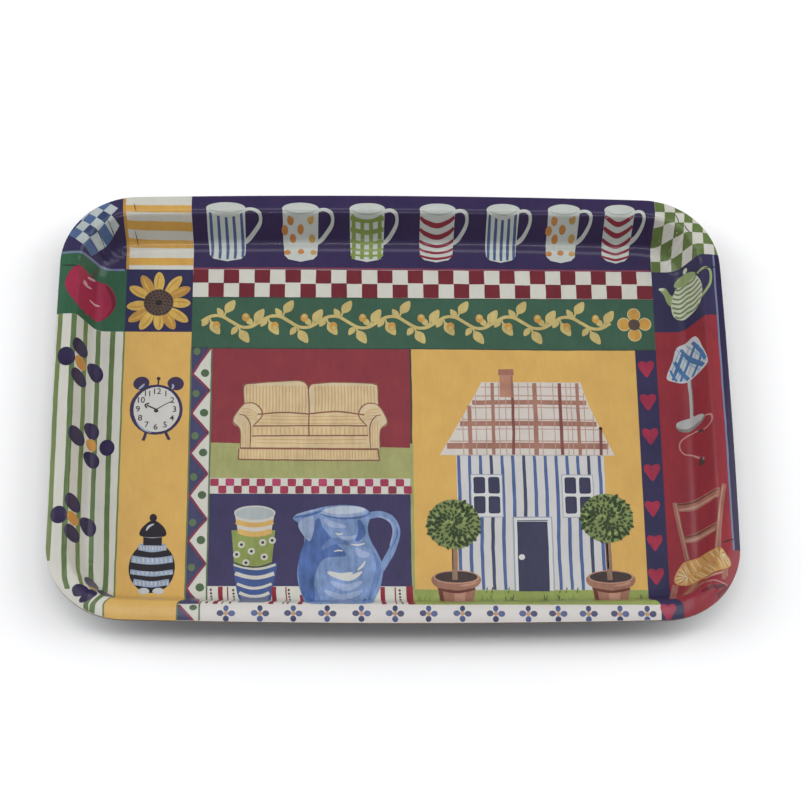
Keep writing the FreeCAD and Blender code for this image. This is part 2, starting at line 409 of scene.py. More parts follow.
def fill(art, points, ink, layer=0):
    """A plain shape inside a drawn outline."""
    height = coat_height(art, layer)
    face = art.faces.new([art.verts.new((x, y, height)) for x, y in points])
    face.material_index = ink
    face.normal_update()
    if face.normal.z < 0:
        face.normal_flip()


def bar(art, left, right, near, far, ink, layer=0, nib=0.0):
    """A brushed rectangle; nib takes off its corners."""
    if not nib:
        fill(art, [(left, near), (right, near), (right, far), (left, far)], ink, layer)
        return
    soft = 0.3 * nib
    fill(art, [(left + nib, near), (right - nib, near), (right - soft, near + soft), (right, near + nib),
               (right, far - nib), (right - soft, far - soft), (right - nib, far), (left + nib, far),
               (left + soft, far - soft), (left, far - nib), (left, near + nib), (left + soft, near + soft)],
         ink, layer)


def ink_in(made, ink):
    """Gives the faces of a newly made shape their ink."""
    for face in {face for v in made["verts"] for face in v.link_faces}:
        face.material_index = ink


def oval(art, x, y, half_width, half_height, ink, layer=0, lean=0.0):
    """An oval dab, leaning by so many degrees."""
    place = (Matrix.Translation((x, y, coat_height(art, layer))) @ Matrix.Rotation(math.radians(lean), 4, "Z")
             @ Matrix.Diagonal((half_width, half_height, 1.0, 1.0)))
    made = bmesh.ops.create_circle(art, cap_ends=True, radius=1.0, segments=OVAL_SIDES, matrix=place)
    ink_in(made, ink)


def through(points, part):
    """A point on the smooth line through the points, part of the way along it."""
    along = max(0.0, min(part, 0.99999)) * (len(points) - 1)
    first = int(along)
    t = along - first
    a, b, c, d = [Vector(points[max(0, min(first + step, len(points) - 1))]) for step in (-1, 0, 1, 2)]
    return 0.5 * (2.0 * b + (c - a) * t + (2.0 * a - 5.0 * b + 4.0 * c - d) * t ** 2
                  + (3.0 * b - a - 3.0 * c + d) * t ** 3)


def rounded(points, steps=SPAN_STEPS):
    """The same outline with its corners drawn round."""
    looped = [points[-1], *points, points[0], points[1]]
    spans = len(looped) - 1
    return [through(looped, (1 + step / steps) / spans) for step in range(steps * len(points))]


def stroke(art, points, width, ink, layer=0, taper=0.0):
    """One pull of the brush along the points; taper thins both its ends."""
    steps = max(2, SPAN_STEPS * (len(points) - 1))
    height = coat_height(art, layer)
    made = bmesh.ops.create_grid(art, x_segments=steps, y_segments=1, size=0.5)
    for v in made["verts"]:
        part, side = v.co.x + 0.5, v.co.y
        onward = through(points, part + 0.01) - through(points, part - 0.01)
        across = Vector((-onward.y, onward.x)).normalized()
        swell = 1.0 - taper * abs(2.0 * part - 1.0) ** 2
        spot = through(points, part) + across * side * width * swell
        v.co = (spot.x, spot.y, height)
    ink_in(made, ink)


def folds(low, high, flat):
    """Where a drawing is divided so that it can follow the form."""
    place = low
    while place < high:
        yield place
        fine = abs(place) > flat or abs(place + FLAT_FOLD) > flat
        place += FINE_FOLD if fine else FLAT_FOLD


def corner_near(spot):
    """The corner arc's centre nearest to a point."""
    return Vector((math.copysign(CORNER.x, spot.x), math.copysign(CORNER.y, spot.y)))


def press(name, art, paints):
    """Presses a flat drawing onto the tray's face and makes it an object."""
    spans = [(min(v.co[axis] for v in art.verts), max(v.co[axis] for v in art.verts)) for axis in (0, 1)]
    reach = [max(abs(low), abs(high)) for low, high in spans]
    cornered = reach[0] > CORNER.x and reach[1] > CORNER.y - 2
    flats = (CORNER.x, CORNER.y - 2) if cornered else (END_FOOT, NEAR_FOOT)
    for axis, (low, high) in enumerate(spans):
        across = Vector((1.0, 0.0, 0.0)) if axis == 0 else Vector((0.0, 1.0, 0.0))
        for place in folds(low + 0.1, high, flats[axis] - 1.0):
            bmesh.ops.bisect_plane(art, geom=art.verts[:] + art.edges[:] + art.faces[:], dist=0.0005,
                                   plane_co=across * place, plane_no=across)
    for v in art.verts:
        loose = noise.noise_vector(Vector((v.co.x, v.co.y, 3.0)) * 0.13)
        v.co.x = (v.co.x + loose.x * WANDER) * drawn_out(v.co.y)
        v.co.y += loose.y * WANDER
    for v in art.verts:
        v.tag = inset_at(v.co.x, v.co.y) < EDGE_MARGIN
    bmesh.ops.delete(art, geom=[f for f in art.faces if all(v.tag for v in f.verts)], context="FACES")
    for v in art.verts:
        if v.tag:
            inward = (corner_near(v.co) - v.co.xy).normalized() * (EDGE_MARGIN - inset_at(v.co.x, v.co.y))
            v.co.x += inward.x
            v.co.y += inward.y
        v.co.z += face_height(v.co.x, v.co.y) + INK_LIFT
    bmesh.ops.triangulate(art, faces=art.faces[:])
    return shape_object(name, art, paints, INK_THICKNESS)


white = paint("chalk_white", (0.500, 0.495, 0.445), 0.10)
patch("left_stripes", -OUTSIDE, STRIPES_END, -OUTSIDE, PANEL_FOOT, white)
olive = paint("olive_stripe", (0.122, 0.170, 0.053), 0.35)
moss = paint("moss_stripe", (0.087, 0.140, 0.048), 0.35)
border_flower_paints = palette(
    petal_purple=(0.017, 0.010, 0.046, 0.35), orange_heart=(0.448, 0.213, 0.044, 0.3),
    petal_light=(0.022, 0.014, 0.052, 0.4),
)

art = bmesh.new()
for width, ink, points in (
    (3.0, 0, ((-217.4, -112), (-217.2, -60), (-217.6, 0), (-217.0, 62))),
    (3.3, 1, ((-205.5, -131), (-207.5, -100), (-207.8, -30), (-208.3, 20), (-208.0, 62))),
    (2.3, 0, ((-194.5, -136), (-197.0, -122), (-200.2, -100), (-200.9, -20), (-201.4, 62))),
    (2.9, 1, ((-187.0, -146), (-189.5, -128), (-192.5, -100), (-193.3, -10), (-194.0, 62))),
    (3.3, 1, ((-184.0, -150), (-182.6, -118), (-183.6, -70), (-184.6, 0), (-184.6, 62))),
    (1.1, 0, ((-176.9, -151), (-177.0, -60), (-177.2, 62))),
):
    stroke(art, points, width, ink)
press("border_stripes", art, [olive, moss])


def placed(spots, x, y):
    """Points given from a motif's own middle, moved to where it stands."""
    return [(x + over, y + up) for over, up in spots]


def border_flower(name, heart, petals):
    """Four broad petals round a small orange heart."""
    art = bmesh.new()
    for x, y, half_width, half_height, lean in petals:
        oval(art, x, y, half_width, half_height, 0, 2, lean)
        oval(art, x + 0.25 * half_width, y + 0.2 * half_height, half_width * 0.55, half_height * 0.62, 2, 3,
             lean)
    oval(art, *heart, 1, 3)
    press(name, art, border_flower_paints)


border_flower("border_flower_1", (-203.2, 30, 3.0, 4.6), (
    (-204, 40.5, 4.4, 6, 0), (-212, 30.8, 5.8, 6.8, 8), (-194.8, 30, 4.9, 6.6, 8), (-204, 18.8, 4.4, 5.7, 0)))
border_flower("border_flower_2", (-195.3, -22.3, 3.2, 4.4), (
    (-195.3, -12.6, 4.5, 6, 0), (-203.8, -22.8, 4.5, 6.4, -8), (-185.4, -22.8, 4.9, 5.8, 0),
    (-194.7, -32.8, 4.8, 5.7, 10)))
border_flower("border_flower_3", (-203.5, -80.6, 3.1, 4.4), (
    (-204, -70, 4.3, 5.9, 0), (-211.8, -81, 5.4, 6, 0), (-195, -79.8, 4.8, 6.3, 10),
    (-203.7, -91, 4.3, 5.5, 0)))
border_flower("border_flower_4", (-190.0, -128.6, 2.4, 1.8), (
    (-190.5, -122.5, 3.6, 6.4, 25), (-182.5, -130.5, 4.0, 5.5, 55), (-197.3, -132, 5.4, 4.2, 0),
    (-190.8, -135.5, 4.3, 4.6, 0)))

# ---------------------------------------------------------------- left corner
# A tilted blue check over the far left corner, a red apple on green below it,
# and yellow bars with a sunflower beside them.
corner_purple = paint("grape", (0.027, 0.020, 0.068))
apple_green = paint("lawn_green", (0.024, 0.088, 0.046))
purple = paint("plum", (0.022, 0.021, 0.066))
patch("purple_corner", -OUTSIDE, STRIPES_END, CORNER_LINE, OUTSIDE, corner_purple)
patch("apple_field", -OUTSIDE, STRIPES_END, PANEL_FOOT, CORNER_LINE, apple_green)
patch("yellow_bars", STRIPES_END, BAND_START, CORNER_LINE, OUTSIDE, white)
patch("sunflower_field", STRIPES_END, BAND_START, PANEL_FOOT, CORNER_LINE, purple)
tilted_check_paints = palette(
    check_blue=(0.061, 0.105, 0.218, 0.4), check_deep_blue=(0.026, 0.044, 0.109, 0.4),
    check_pale=(0.361, 0.405, 0.405, 0.25),
)
art = bmesh.new()
CHECK_SIDE = 7.2
CHECK_START = Vector((-200.0, 110.5))
across, up = Vector((0.66, 0.75)) * CHECK_SIDE, Vector((-0.80, 0.60)) * CHECK_SIDE * 0.85
for row in range(5):
    for column in range(6):
        low = CHECK_START + across * column + up * row
        corners = [low, low + across, low + across + up, low + up]
        if all(-217 < p.x < -179.5 and 109.5 < p.y < 151 for p in corners):
            fill(art, corners, 2 if (row + column) % 2 else row % 2)
press("tilted_check", art, tilted_check_paints)

line_blue = paint("line_blue", (0.131, 0.157, 0.257), 0.3)
art = bmesh.new()
stroke(art, ((-219, 107.5), (-208, 107.8), (-200, 108.9), (-190, 108.4), (-178.5, 108.3)), 1.6, 0)
press("corner_line", art, [line_blue])

apple_paints = palette(
    apple_red=(0.265, 0.017, 0.050, 0.4), apple_dark=(0.135, 0.012, 0.024, 0.4),
    apple_shine=(0.431, 0.240, 0.257, 0.3), stem_brown=(0.070, 0.048, 0.035, 0.3),
)
art = bmesh.new()
fill(art, rounded([(-199, 97.5), (-207, 98.5), (-213, 92.5), (-215.2, 84), (-211.5, 75.5), (-205, 68.5),
                   (-199.5, 67.8), (-194, 68.5), (-187.5, 74), (-183.3, 82), (-185, 91), (-190.5, 97.2)]),
     0, 1)
fill(art, rounded([(-191, 96.4), (-185.6, 91), (-183.6, 82), (-187.6, 74.2), (-193, 69.3), (-187.0, 77),
                   (-186.6, 86)]), 1, 2)
stroke(art, ((-199.5, 96), (-197.8, 100), (-196.6, 106.5)), 1.5, 3, 3, 0.4)
for points in (((-201.5, 94.5), (-199.5, 95.5), (-197.2, 96.8)), ((-204, 88.5), (-202, 87.8), (-199, 89)),
               ((-200, 79.5), (-197, 79.2), (-194, 80)), ((-203.5, 90.5), (-202.5, 89.5), (-201.5, 87.2))):
    stroke(art, points, 1.7, 2, 3, 0.7)
for x in (-203, -199.8, -197):
    stroke(art, ((x, 69.8), (x + 0.4, 67.2), (x + 0.2, 65.2)), 0.8, 3, 2, 0.7)
press("apple", art, apple_paints)

bar_yellow = paint("bar_yellow", (0.500, 0.285, 0.065), 0.2)
edge_orange = paint("edge_orange", (0.396, 0.213, 0.048), 0.2)
art = bmesh.new()
for low, high in ((112.2, 117.8), (124.8, 128.8), (132.0, 135.2), (138.8, 143.8)):
    bar(art, -176.5, -132.6, low, high, 0)
stroke(art, ((-176.6, 109), (-176.6, 125), (-177.2, 152)), 1.9, 1, 1)
press("yellow_bars", art, [bar_yellow, edge_orange])

sun_gold = paint("sun_gold", (0.475, 0.309, 0.074), 0.35)
sun_orange = paint("sun_orange", (0.379, 0.205, 0.048), 0.35)
seed_brown = paint("seed_brown", (0.069, 0.045, 0.037), 0.5)
seed_dark = paint("seed_dark", (0.020, 0.013, 0.013), 0.4)
SUN = Vector((-155.0, 83.8))
PETAL_HALF = 3.5
art = bmesh.new()
for number, (tip_x, tip_y) in enumerate((
    (-166.8, 104.2), (-155.2, 107), (-140.4, 103.8), (-134.2, 95.4), (-133.8, 83.6), (-135.2, 69.6),
    (-144.2, 63.8), (-154.4, 63.2), (-166.8, 63.6), (-174.6, 69.6), (-176.2, 80.4), (-174.6, 95.8),
)):
    out = Vector((tip_x, tip_y)) - SUN
    side = Vector((-out.y, out.x)).normalized() * PETAL_HALF
    petal = [SUN + out * 0.30 - side * 0.4, SUN + out * 0.62 - side, SUN + out * 0.88 - side * 0.75,
             SUN + out, SUN + out * 0.88 + side * 0.75, SUN + out * 0.62 + side,
             SUN + out * 0.30 + side * 0.4]
    fill(art, rounded(petal, 4), number % 3 == 0, 0)
    stroke(art, (SUN + out * 0.45 + side * 0.25, SUN + out * 0.7 + side * 0.3, SUN + out * 0.92), 1.1,
           number % 3 != 0, 1, 0.8)
oval(art, SUN.x, SUN.y, 10.0, 10.0, 2, 2)
for ring, count in ((8.6, 22), (6.4, 16), (4.0, 10)):
    for number in range(count):
        angle = math.tau * number / count + ring
        oval(art, SUN.x + ring * math.cos(angle), SUN.y + ring * math.sin(angle), 0.75, 0.5, 3, 3,
             math.degrees(angle))
oval(art, SUN.x, SUN.y, 2.4, 2.2, 3, 3)
press("sunflower", art, [sun_gold, sun_orange, seed_brown, seed_dark])

# ---------------------------------------------------------------- clock
# A twin-bell alarm clock stands in the yellow column: navy case, pale dial,
# plain numbers round the dial.
yellow = paint("straw_yellow", (0.530, 0.325, 0.093), 0.12)
patch("clock_column", STRIPES_END, BAND_START, -OUTSIDE, PANEL_FOOT, yellow)
clock_paints = palette(
    case_navy=(0.040, 0.027, 0.070, 0.35), dial=(0.483, 0.475, 0.457, 0.08),
    bell_shine=(0.257, 0.309, 0.396, 0.3),
)
hand_brown = paint("hand_brown", (0.040, 0.026, 0.026), 0.2)
CLOCK = Vector((-154.3, 5.0))
NUMBER_RING = Vector((12.0, 12.9))
NUMBER_SIZE = 5.8
art = bmesh.new()
for x, lean in ((-164.6, 20), (-142.0, -20)):
    oval(art, x, 23.8, 5.4, 4.9, 0, 0, lean)
    stroke(art, ((x + lean * 0.02 - 2, 19.6), (x + lean * 0.05 - 0.6, 21.5), (x + lean * 0.1, 23.4)), 1.5,
           2, 1, 0.6)
stroke(art, ((-153.6, 21), (-153.3, 27.5)), 1.1, 3)
oval(art, -153.4, 27.4, 1.3, 1.3, 3, 1)
stroke(art, ((-160.5, -10), (-161.0, -14), (-162.2, -17.6)), 2.0, 0)
stroke(art, ((-148.5, -10), (-146.8, -14), (-145.2, -17.0)), 2.0, 0)
oval(art, CLOCK.x, CLOCK.y - 0.2, 17.3, 18.2, 0, 1)
oval(art, CLOCK.x + 0.2, CLOCK.y - 0.2, 15.0, 16.3, 1, 2)
stroke(art, ((-167.2, -3.5), (-163, -9), (-157, -12)), 1.0, 2, 3, 0.8)
stroke(art, (CLOCK, CLOCK + Vector((-3, 1.4)), CLOCK + Vector((-6.4, 2.8))), 1.0, 3, 4)
stroke(art, (CLOCK + Vector((-4.6, 4.2)), CLOCK + Vector((-7.4, 3.2)), CLOCK + Vector((-6.2, 0.8))),
       1.0, 3, 4)
stroke(art, (CLOCK, CLOCK + Vector((5, 3)), CLOCK + Vector((9.6, 5.6))), 0.6, 3, 4)
oval(art, CLOCK.x, CLOCK.y - 1.0, 1.5, 1.3, 3, 4)
press("clock", art, [*clock_paints, hand_brown])


def dial_number(text, x, y):
    """A plain number, made a mesh and laid on the dial."""
    letters = bpy.data.curves.new("number_" + text, "FONT")
    letters.body = text
    letters.size = NUMBER_SIZE
    letters.align_x = "CENTER"
    letters.align_y = "CENTER"
    letters.offset = 0.05
    holder = bpy.data.objects.new("number_" + text, letters)
    flat = bpy.data.meshes.new_from_object(holder)
    bpy.data.objects.remove(holder)
    art = bmesh.new()
    art.from_mesh(flat)
    bmesh.ops.translate(art, vec=(x, y, 6 * INK_STEP), verts=art.verts)
    press("dial_number_" + text, art, [hand_brown])


for number in range(1, 13):
    angle = math.radians(90 - 30 * number)
    dial_number(str(number), CLOCK.x + NUMBER_RING.x * math.cos(angle),
                CLOCK.y + NUMBER_RING.y * math.sin(angle))

# ---------------------------------------------------------------- striped jar
# Below the clock stands a round lidded jar, painted black with feathered bands
# of blue-grey and two white feet.
jar_paints = palette(
    jar_black=(0.015, 0.012, 0.017, 0.3), jar_blue=(0.231, 0.292, 0.396, 0.5),
    jar_white=(0.414, 0.422, 0.431, 0.3),
)
JAR = Vector((-153.8, -106.5))
art = bmesh.new()
oval(art, JAR.x, JAR.y, 14.8, 17.5, 0, 0)
for height, half_width, thickness in ((13.6, 8.8, 4.6), (5.2, 13.2, 4.6), (-3.6, 13.6, 3.2),
                                      (-10.6, 11.4, 4.2)):
    middle = JAR + Vector((0, height))
    band = [middle + Vector((-half_width, 0.8)), middle + Vector((0, -0.8)),
            middle + Vector((half_width, 0.8))]
    stroke(art, band, thickness, 1, 1)
    for step in range(9):
        x = middle.x + half_width * (step - 4) / 4.6
        stroke(art, ((x, middle.y + thickness * 0.42 - 0.4), (x + 0.5, middle.y - thickness * 0.4)),
               0.9, 2, 2, 0.6)
oval(art, JAR.x - 4.6, JAR.y - 16.2, 3.6, 2.3, 2, 2)
oval(art, JAR.x + 4.6, JAR.y - 16.2, 3.6, 2.3, 2, 2)
bar(art, JAR.x - 6.0, JAR.x + 6.0, JAR.y + 15.2, JAR.y + 22.0, 0, 1)
stroke(art, ((JAR.x - 6.0, JAR.y + 21.6), (JAR.x, JAR.y + 21.0), (JAR.x + 6.0, JAR.y + 21.6)), 1.1, 2, 2)
lid = ((-8.2, 22.0), (-7.4, 27.0), (-3.0, 31.5), (0, 32.4), (3.0, 31.5), (7.4, 27.0), (8.2, 22.0), (0, 20.8))
fill(art, rounded(placed(lid, *JAR)), 0, 2)
stroke(art, (JAR + Vector((-4.4, 25.4)), JAR + Vector((-2.6, 28.4)), JAR + Vector((0.6, 30))), 1.5, 2, 3, 0.7)
oval(art, JAR.x, JAR.y + 34.4, 2.3, 2.8, 0, 3)
press("striped_jar", art, jar_paints)

# ---------------------------------------------------------------- mug shelf
# Seven mugs in a row on the dark far band, each with its own painted pattern:
# stripes, spots, gingham and wavy bands.
night = paint("night_navy", (0.028, 0.018, 0.066))
patch("mug_shelf", BAND_START, HEARTS_END, CHECKS_TOP, OUTSIDE, night)
mug_paints = palette(
    china_white=(0.431, 0.457, 0.431, 0.12), china_shade=(0.283, 0.318, 0.292, 0.2),
    mug_blue=(0.053, 0.087, 0.192, 0.4), mug_orange=(0.405, 0.170, 0.044, 0.4),
    mug_ochre=(0.396, 0.248, 0.070, 0.4), mug_green=(0.170, 0.227, 0.057, 0.4),
    mug_red=(0.200, 0.022, 0.040, 0.35),
)
BODY_LOW = 116.2
BODY_TOP = 140.0
RIM_RISE = 4.6


def upright_stripes(art, left, right, ink):
    """Five brushed stripes that follow the rounded foot."""
    stripes = 5
    for number in range(stripes):
        x = left + (right - left) * (number + 0.5) / stripes
        low = BODY_LOW + 2.6 * abs(2.0 * (number + 0.5) / stripes - 1.0) ** 2 + 0.8
        stroke(art, ((x, low), (x + 0.3, 128), (x - 0.1, BODY_TOP - 0.6)), 2.1, ink, 2, 0.25)


def spots(art, left, right, ink):
    """Loose round dabs, some of them in the next ink."""
    for column, height in ((0.22, 136.7), (0.78, 137.2), (0.06, 133.2), (0.5, 133.6), (0.28, 130.2),
                           (0.82, 130.2), (0.12, 122.6), (0.5, 123.2), (0.86, 122.6)):
        oval(art, left + (right - left) * column, height, 2.2, 1.8, ink + (column > 0.7), 2)


def gingham(art, left, right, ink):
    """Crossed bars, the level ones sagging a little."""
    for number in range(4):
        x = left + (right - left) * (number + 0.45) / 4
        stroke(art, ((x, BODY_LOW + 1.6), (x + 0.2, 128), (x, BODY_TOP - 0.6)), 2.6, ink, 2)
    for height in (120.6, 124.6, 129.0, 133.2, 137.2):
        stroke(art, ((left + 0.5, height + 0.6), ((left + right) / 2, height - 0.4),
                     (right - 0.5, height + 0.6)), 1.6, ink, 3)


def wavy_bands(art, left, right, ink):
    """Level bands that dip in the middle."""
    for height in (119.6, 124.0, 128.4, 132.6, 136.6):
        middle = (left + right) / 2
        stroke(art, ((left + 0.3, height + 1.6), (left + 4, height), (middle, height - 1.4),
                     (right - 4, height), (right - 0.3, height + 1.8)), 1.9, ink, 2, 0.35)


def mug(name, left, right, handle, pattern, ink):
    """A straight mug seen a little from above, its handle at the right."""
    art = bmesh.new()
    middle, half = (left + right) / 2, (right - left) / 2
    stroke(art, ((right - 2, 140.2), (right + 3.5, 141.4), (handle - 1.2, 139.4), (handle - 0.8, 135.6),
                 (right + 3.6, 131.0), (right - 0.6, 128.6)), 2.1, 0, 0)
    fill(art, [(left, BODY_TOP + 1.5), (left + 0.3, 128), (left + 0.9, BODY_LOW + 4.2),
               (left + 3.6, BODY_LOW + 1.2), (middle, BODY_LOW - 0.6), (right - 3.6, BODY_LOW + 1.2),
               (right - 0.9, BODY_LOW + 4.2), (right - 0.3, 128), (right, BODY_TOP + 1.5)], 0, 1)
    pattern(art, left, right, ink)
    oval(art, middle, BODY_TOP + 1.9, half + 0.3, RIM_RISE, 0, 4)
    oval(art, middle, BODY_TOP + 1.0, half - 1.6, RIM_RISE - 2.4, 1, 5)
    oval(art, middle, BODY_TOP + 2.1, half - 1.2, RIM_RISE - 1.9, 0, 6)
    press(name, art, mug_paints)


MUG_INKS = {"blue": 2, "orange": 3, "green": 5, "red": 6}
for number, (left, right, handle, pattern, ink) in enumerate((
    (-122.6, -97.0, -86.6, upright_stripes, "blue"),
    (-72.2, -48.4, -38.4, spots, "orange"),
    (-27.4, -4.2, 4.6, gingham, "green"),
    (19.4, 42.8, 51.4, wavy_bands, "red"),
    (64.0, 85.6, 93.8, upright_stripes, "blue"),
    (105.0, 126.0, 134.4, spots, "orange"),
    (142.8, 162.6, 170.0, wavy_bands, "red"),
)):
    mug("shelf_mug_%d" % (number + 1), left, right, handle, pattern, MUG_INKS[ink])

# ---------------------------------------------------------------- red check rows
# Two rows of red squares run under the mugs, brushed in one by one on the
# bare white, with a pink line over them.
patch("check_rows", BAND_START, HEARTS_END, BANNER[1], CHECKS_TOP, white)
check_red = paint("check_red", (0.128, 0.015, 0.024), 0.3)
pink_line = paint("pink_line", (0.170, 0.040, 0.070), 0.3)
COLUMNS = 30
pitch = (HEARTS_END - BAND_START) / COLUMNS
art = bmesh.new()
for column in range(COLUMNS):
    left = BAND_START + column * pitch
    loose = 0.4 * math.sin(column * 2.3)
    far_row = column % 2 == 0
    low, high = (99.2 + loose, 109.3) if far_row else (88.4, 98.8 + loose)
    bar(art, left + 0.15 * loose, left + pitch + 0.3 * loose, low, high, 0)
stroke(art, ((BAND_START, 110.0), (-50, 110.4), (60, 110.0), (HEARTS_END, 109.8)), 1.3, 1, 1)
press("red_check_rows", art, [check_red, pink_line])

# ---------------------------------------------------------------- banner ornament
# The green banner carries a running vine of leaves and buds in yellow, with an
# orange flower at its right end.
banner_green = paint("bottle_green", (0.034, 0.085, 0.054))
patch("banner", BAND_START, HEARTS_END, BANNER[0], BANNER[1], banner_green)
leaf_yellow = paint("leaf_yellow", (0.431, 0.344, 0.135), 0.35)
flower_orange = paint("flower_orange", (0.431, 0.231, 0.053), 0.4)
flower_edge = paint("flower_edge", (0.448, 0.388, 0.196), 0.3)
VINE_START, VINE_END = -126.0, 147.0
WAVES = 7
WAVE = (VINE_END - VINE_START) / WAVES


def vine_height(x):
    """Height of the vine's stem at a place along it."""
    return 70.0 + 4.5 * math.sin(math.tau * (x - VINE_START) / WAVE)


def leaf(art, x, y, length, width, lean, ink, layer):
    """A pointed leaf from its stalk end."""
    out = Vector((math.cos(lean), math.sin(lean))) * length
    side = Vector((-out.y, out.x)).normalized() * width / 2
    base = Vector((x, y))
    fill(art, rounded([base, base + out * 0.35 + side, base + out * 0.75 + side * 0.7, base + out,
                       base + out * 0.75 - side * 0.7, base + out * 0.35 - side], 4), ink, layer)


for number in range(WAVES):
    art = bmesh.new()
    start = VINE_START + number * WAVE
    stroke(art, [(start + WAVE * step / 6, vine_height(start + WAVE * step / 6)) for step in range(7)],
           2.3, 0)
    for part, side in ((0.12, -1), (0.37, 1), (0.62, -1), (0.87, 1)):
        x = start + WAVE * part
        lean = side * math.radians(58)
        stroke(art, ((x, vine_height(x)), (x + 1.6, vine_height(x) + side * 4.0)), 1.3, 0)
        leaf(art, x + 1.4, vine_height(x) + side * 3.4, 11.0, 6.4, lean, 0, 1)
        leaf(art, x - 0.6, vine_height(x) + side * 0.8, 7.0, 4.2, math.pi - lean, 0, 1)
    for part, side in ((0.25, -1), (0.75, 1)):
        x = start + WAVE * part
        oval(art, x, vine_height(x) + side * 7.6, 2.5, 3.1, 1, 1)
        oval(art, x, vine_height(x) + side * 8.8, 1.3, 1.4, 0, 2)
    press("banner_vine_%d" % (number + 1), art, [leaf_yellow, flower_orange])

art = bmesh.new()
for x, y, half_width, half_height in ((163, 76.5, 4.4, 4.9), (156.2, 69.2, 4.6, 5.0), (170, 69.4, 4.5, 4.9),
                                      (163, 61.4, 4.5, 4.9)):
    oval(art, x, y, half_width, half_height, 1, 0)
    oval(art, x, y, half_width * 0.86, half_height * 0.86, 0, 1)
oval(art, 163, 69, 4.0, 4.2, 2, 2)
press("banner_flower", art, [flower_orange, flower_edge, seed_brown])

# ---------------------------------------------------------------- zigzag strip
# A narrow strip of navy and white teeth with a crimson line between them and
# a green dot in each, edged in green on both sides.
patch("zigzag_strip", BAND_START, ZIGZAG_END, -OUTSIDE, BANNER[0], white)
tooth_navy = paint("tooth_navy", (0.046, 0.046, 0.105), 0.4)
crimson = paint("crimson_line", (0.183, 0.031, 0.061), 0.35)
dot_green = paint("dot_green", (0.061, 0.105, 0.053), 0.35)
APEXES = (31.0, 2.0, -26.6, -56.6, -88.0, -120.5)
art = bmesh.new()
TIPS = (49.9, 19.0, -11.6, -41.0, -73.0, -103.8, -141.0)
for apex, high, low in zip(APEXES, TIPS, TIPS[1:]):
    fill(art, [(-132.4, low), (-119.6, low), (-131.4, apex), (-132.4, apex)], 0)
    fill(art, [(-132.4, apex), (-131.4, apex), (-119.6, high), (-132.4, high)], 0)
    stroke(art, ((-119.8, high), (-125.6, (apex + high) / 2 + 0.4), (-131.2, apex)), 1.5, 1, 1)
    stroke(art, ((-131.2, apex), (-125.4, (apex + low) / 2), (-119.8, low)), 1.5, 1, 1)
    oval(art, -123.0, apex + 0.6, 2.7, 2.8, 2, 1)
    oval(art, -128.6, high - 2.4, 2.3, 2.6, 3, 1)
fill(art, [(-131.9, -141.6), (-131.0, -141.6), (-121.6, -152.6), (-131.9, -152.6)], 0)
stroke(art, ((-131.2, -141.8), (-126.2, -147.5), (-121.6, -152.6)), 1.5, 1, 1)
oval(art, -122.6, -143.4, 2.4, 1.8, 2, 1)
for x in (-132.3, -118.8):
    stroke(art, ((x, 49.8), (x + 0.2, -50), (x, -141), (x, -153)), 1.0, 3, 2)
press("zigzag", art, [tooth_navy, crimson, dot_green, paint("edge_green", (0.092, 0.140, 0.070), 0.3)])

# ---------------------------------------------------------------- sofa
# A two-seat sofa in cream ticking with ochre stripes stands on a green floor
# against a dark red wall.
maroon = paint("maroon", (0.195, 0.030, 0.040))
meadow = paint("meadow_green", (0.286, 0.290, 0.119), 0.3)
patch("sofa_wall", ZIGZAG_END, MIDDLE, SOFA_FLOOR, BANNER[0], maroon)
patch("sofa_floor", ZIGZAG_END, MIDDLE, SMALL_CHECKS[1], SOFA_FLOOR, meadow)
sofa_paints = palette(
    ticking_cream=(0.510, 0.410, 0.260, 0.3), ticking_warm=(0.520, 0.400, 0.235, 0.35),
    ticking_ochre=(0.460, 0.300, 0.135, 0.35), outline_brown=(0.200, 0.085, 0.055, 0.3),
)
SOFA_MIDDLE = -53.4


def sofa_end(mirror, spots):
    """Points of the left end of the sofa, or the same turned over to the right."""
    return [(SOFA_MIDDLE + mirror * (x - SOFA_MIDDLE), y) for x, y in spots]


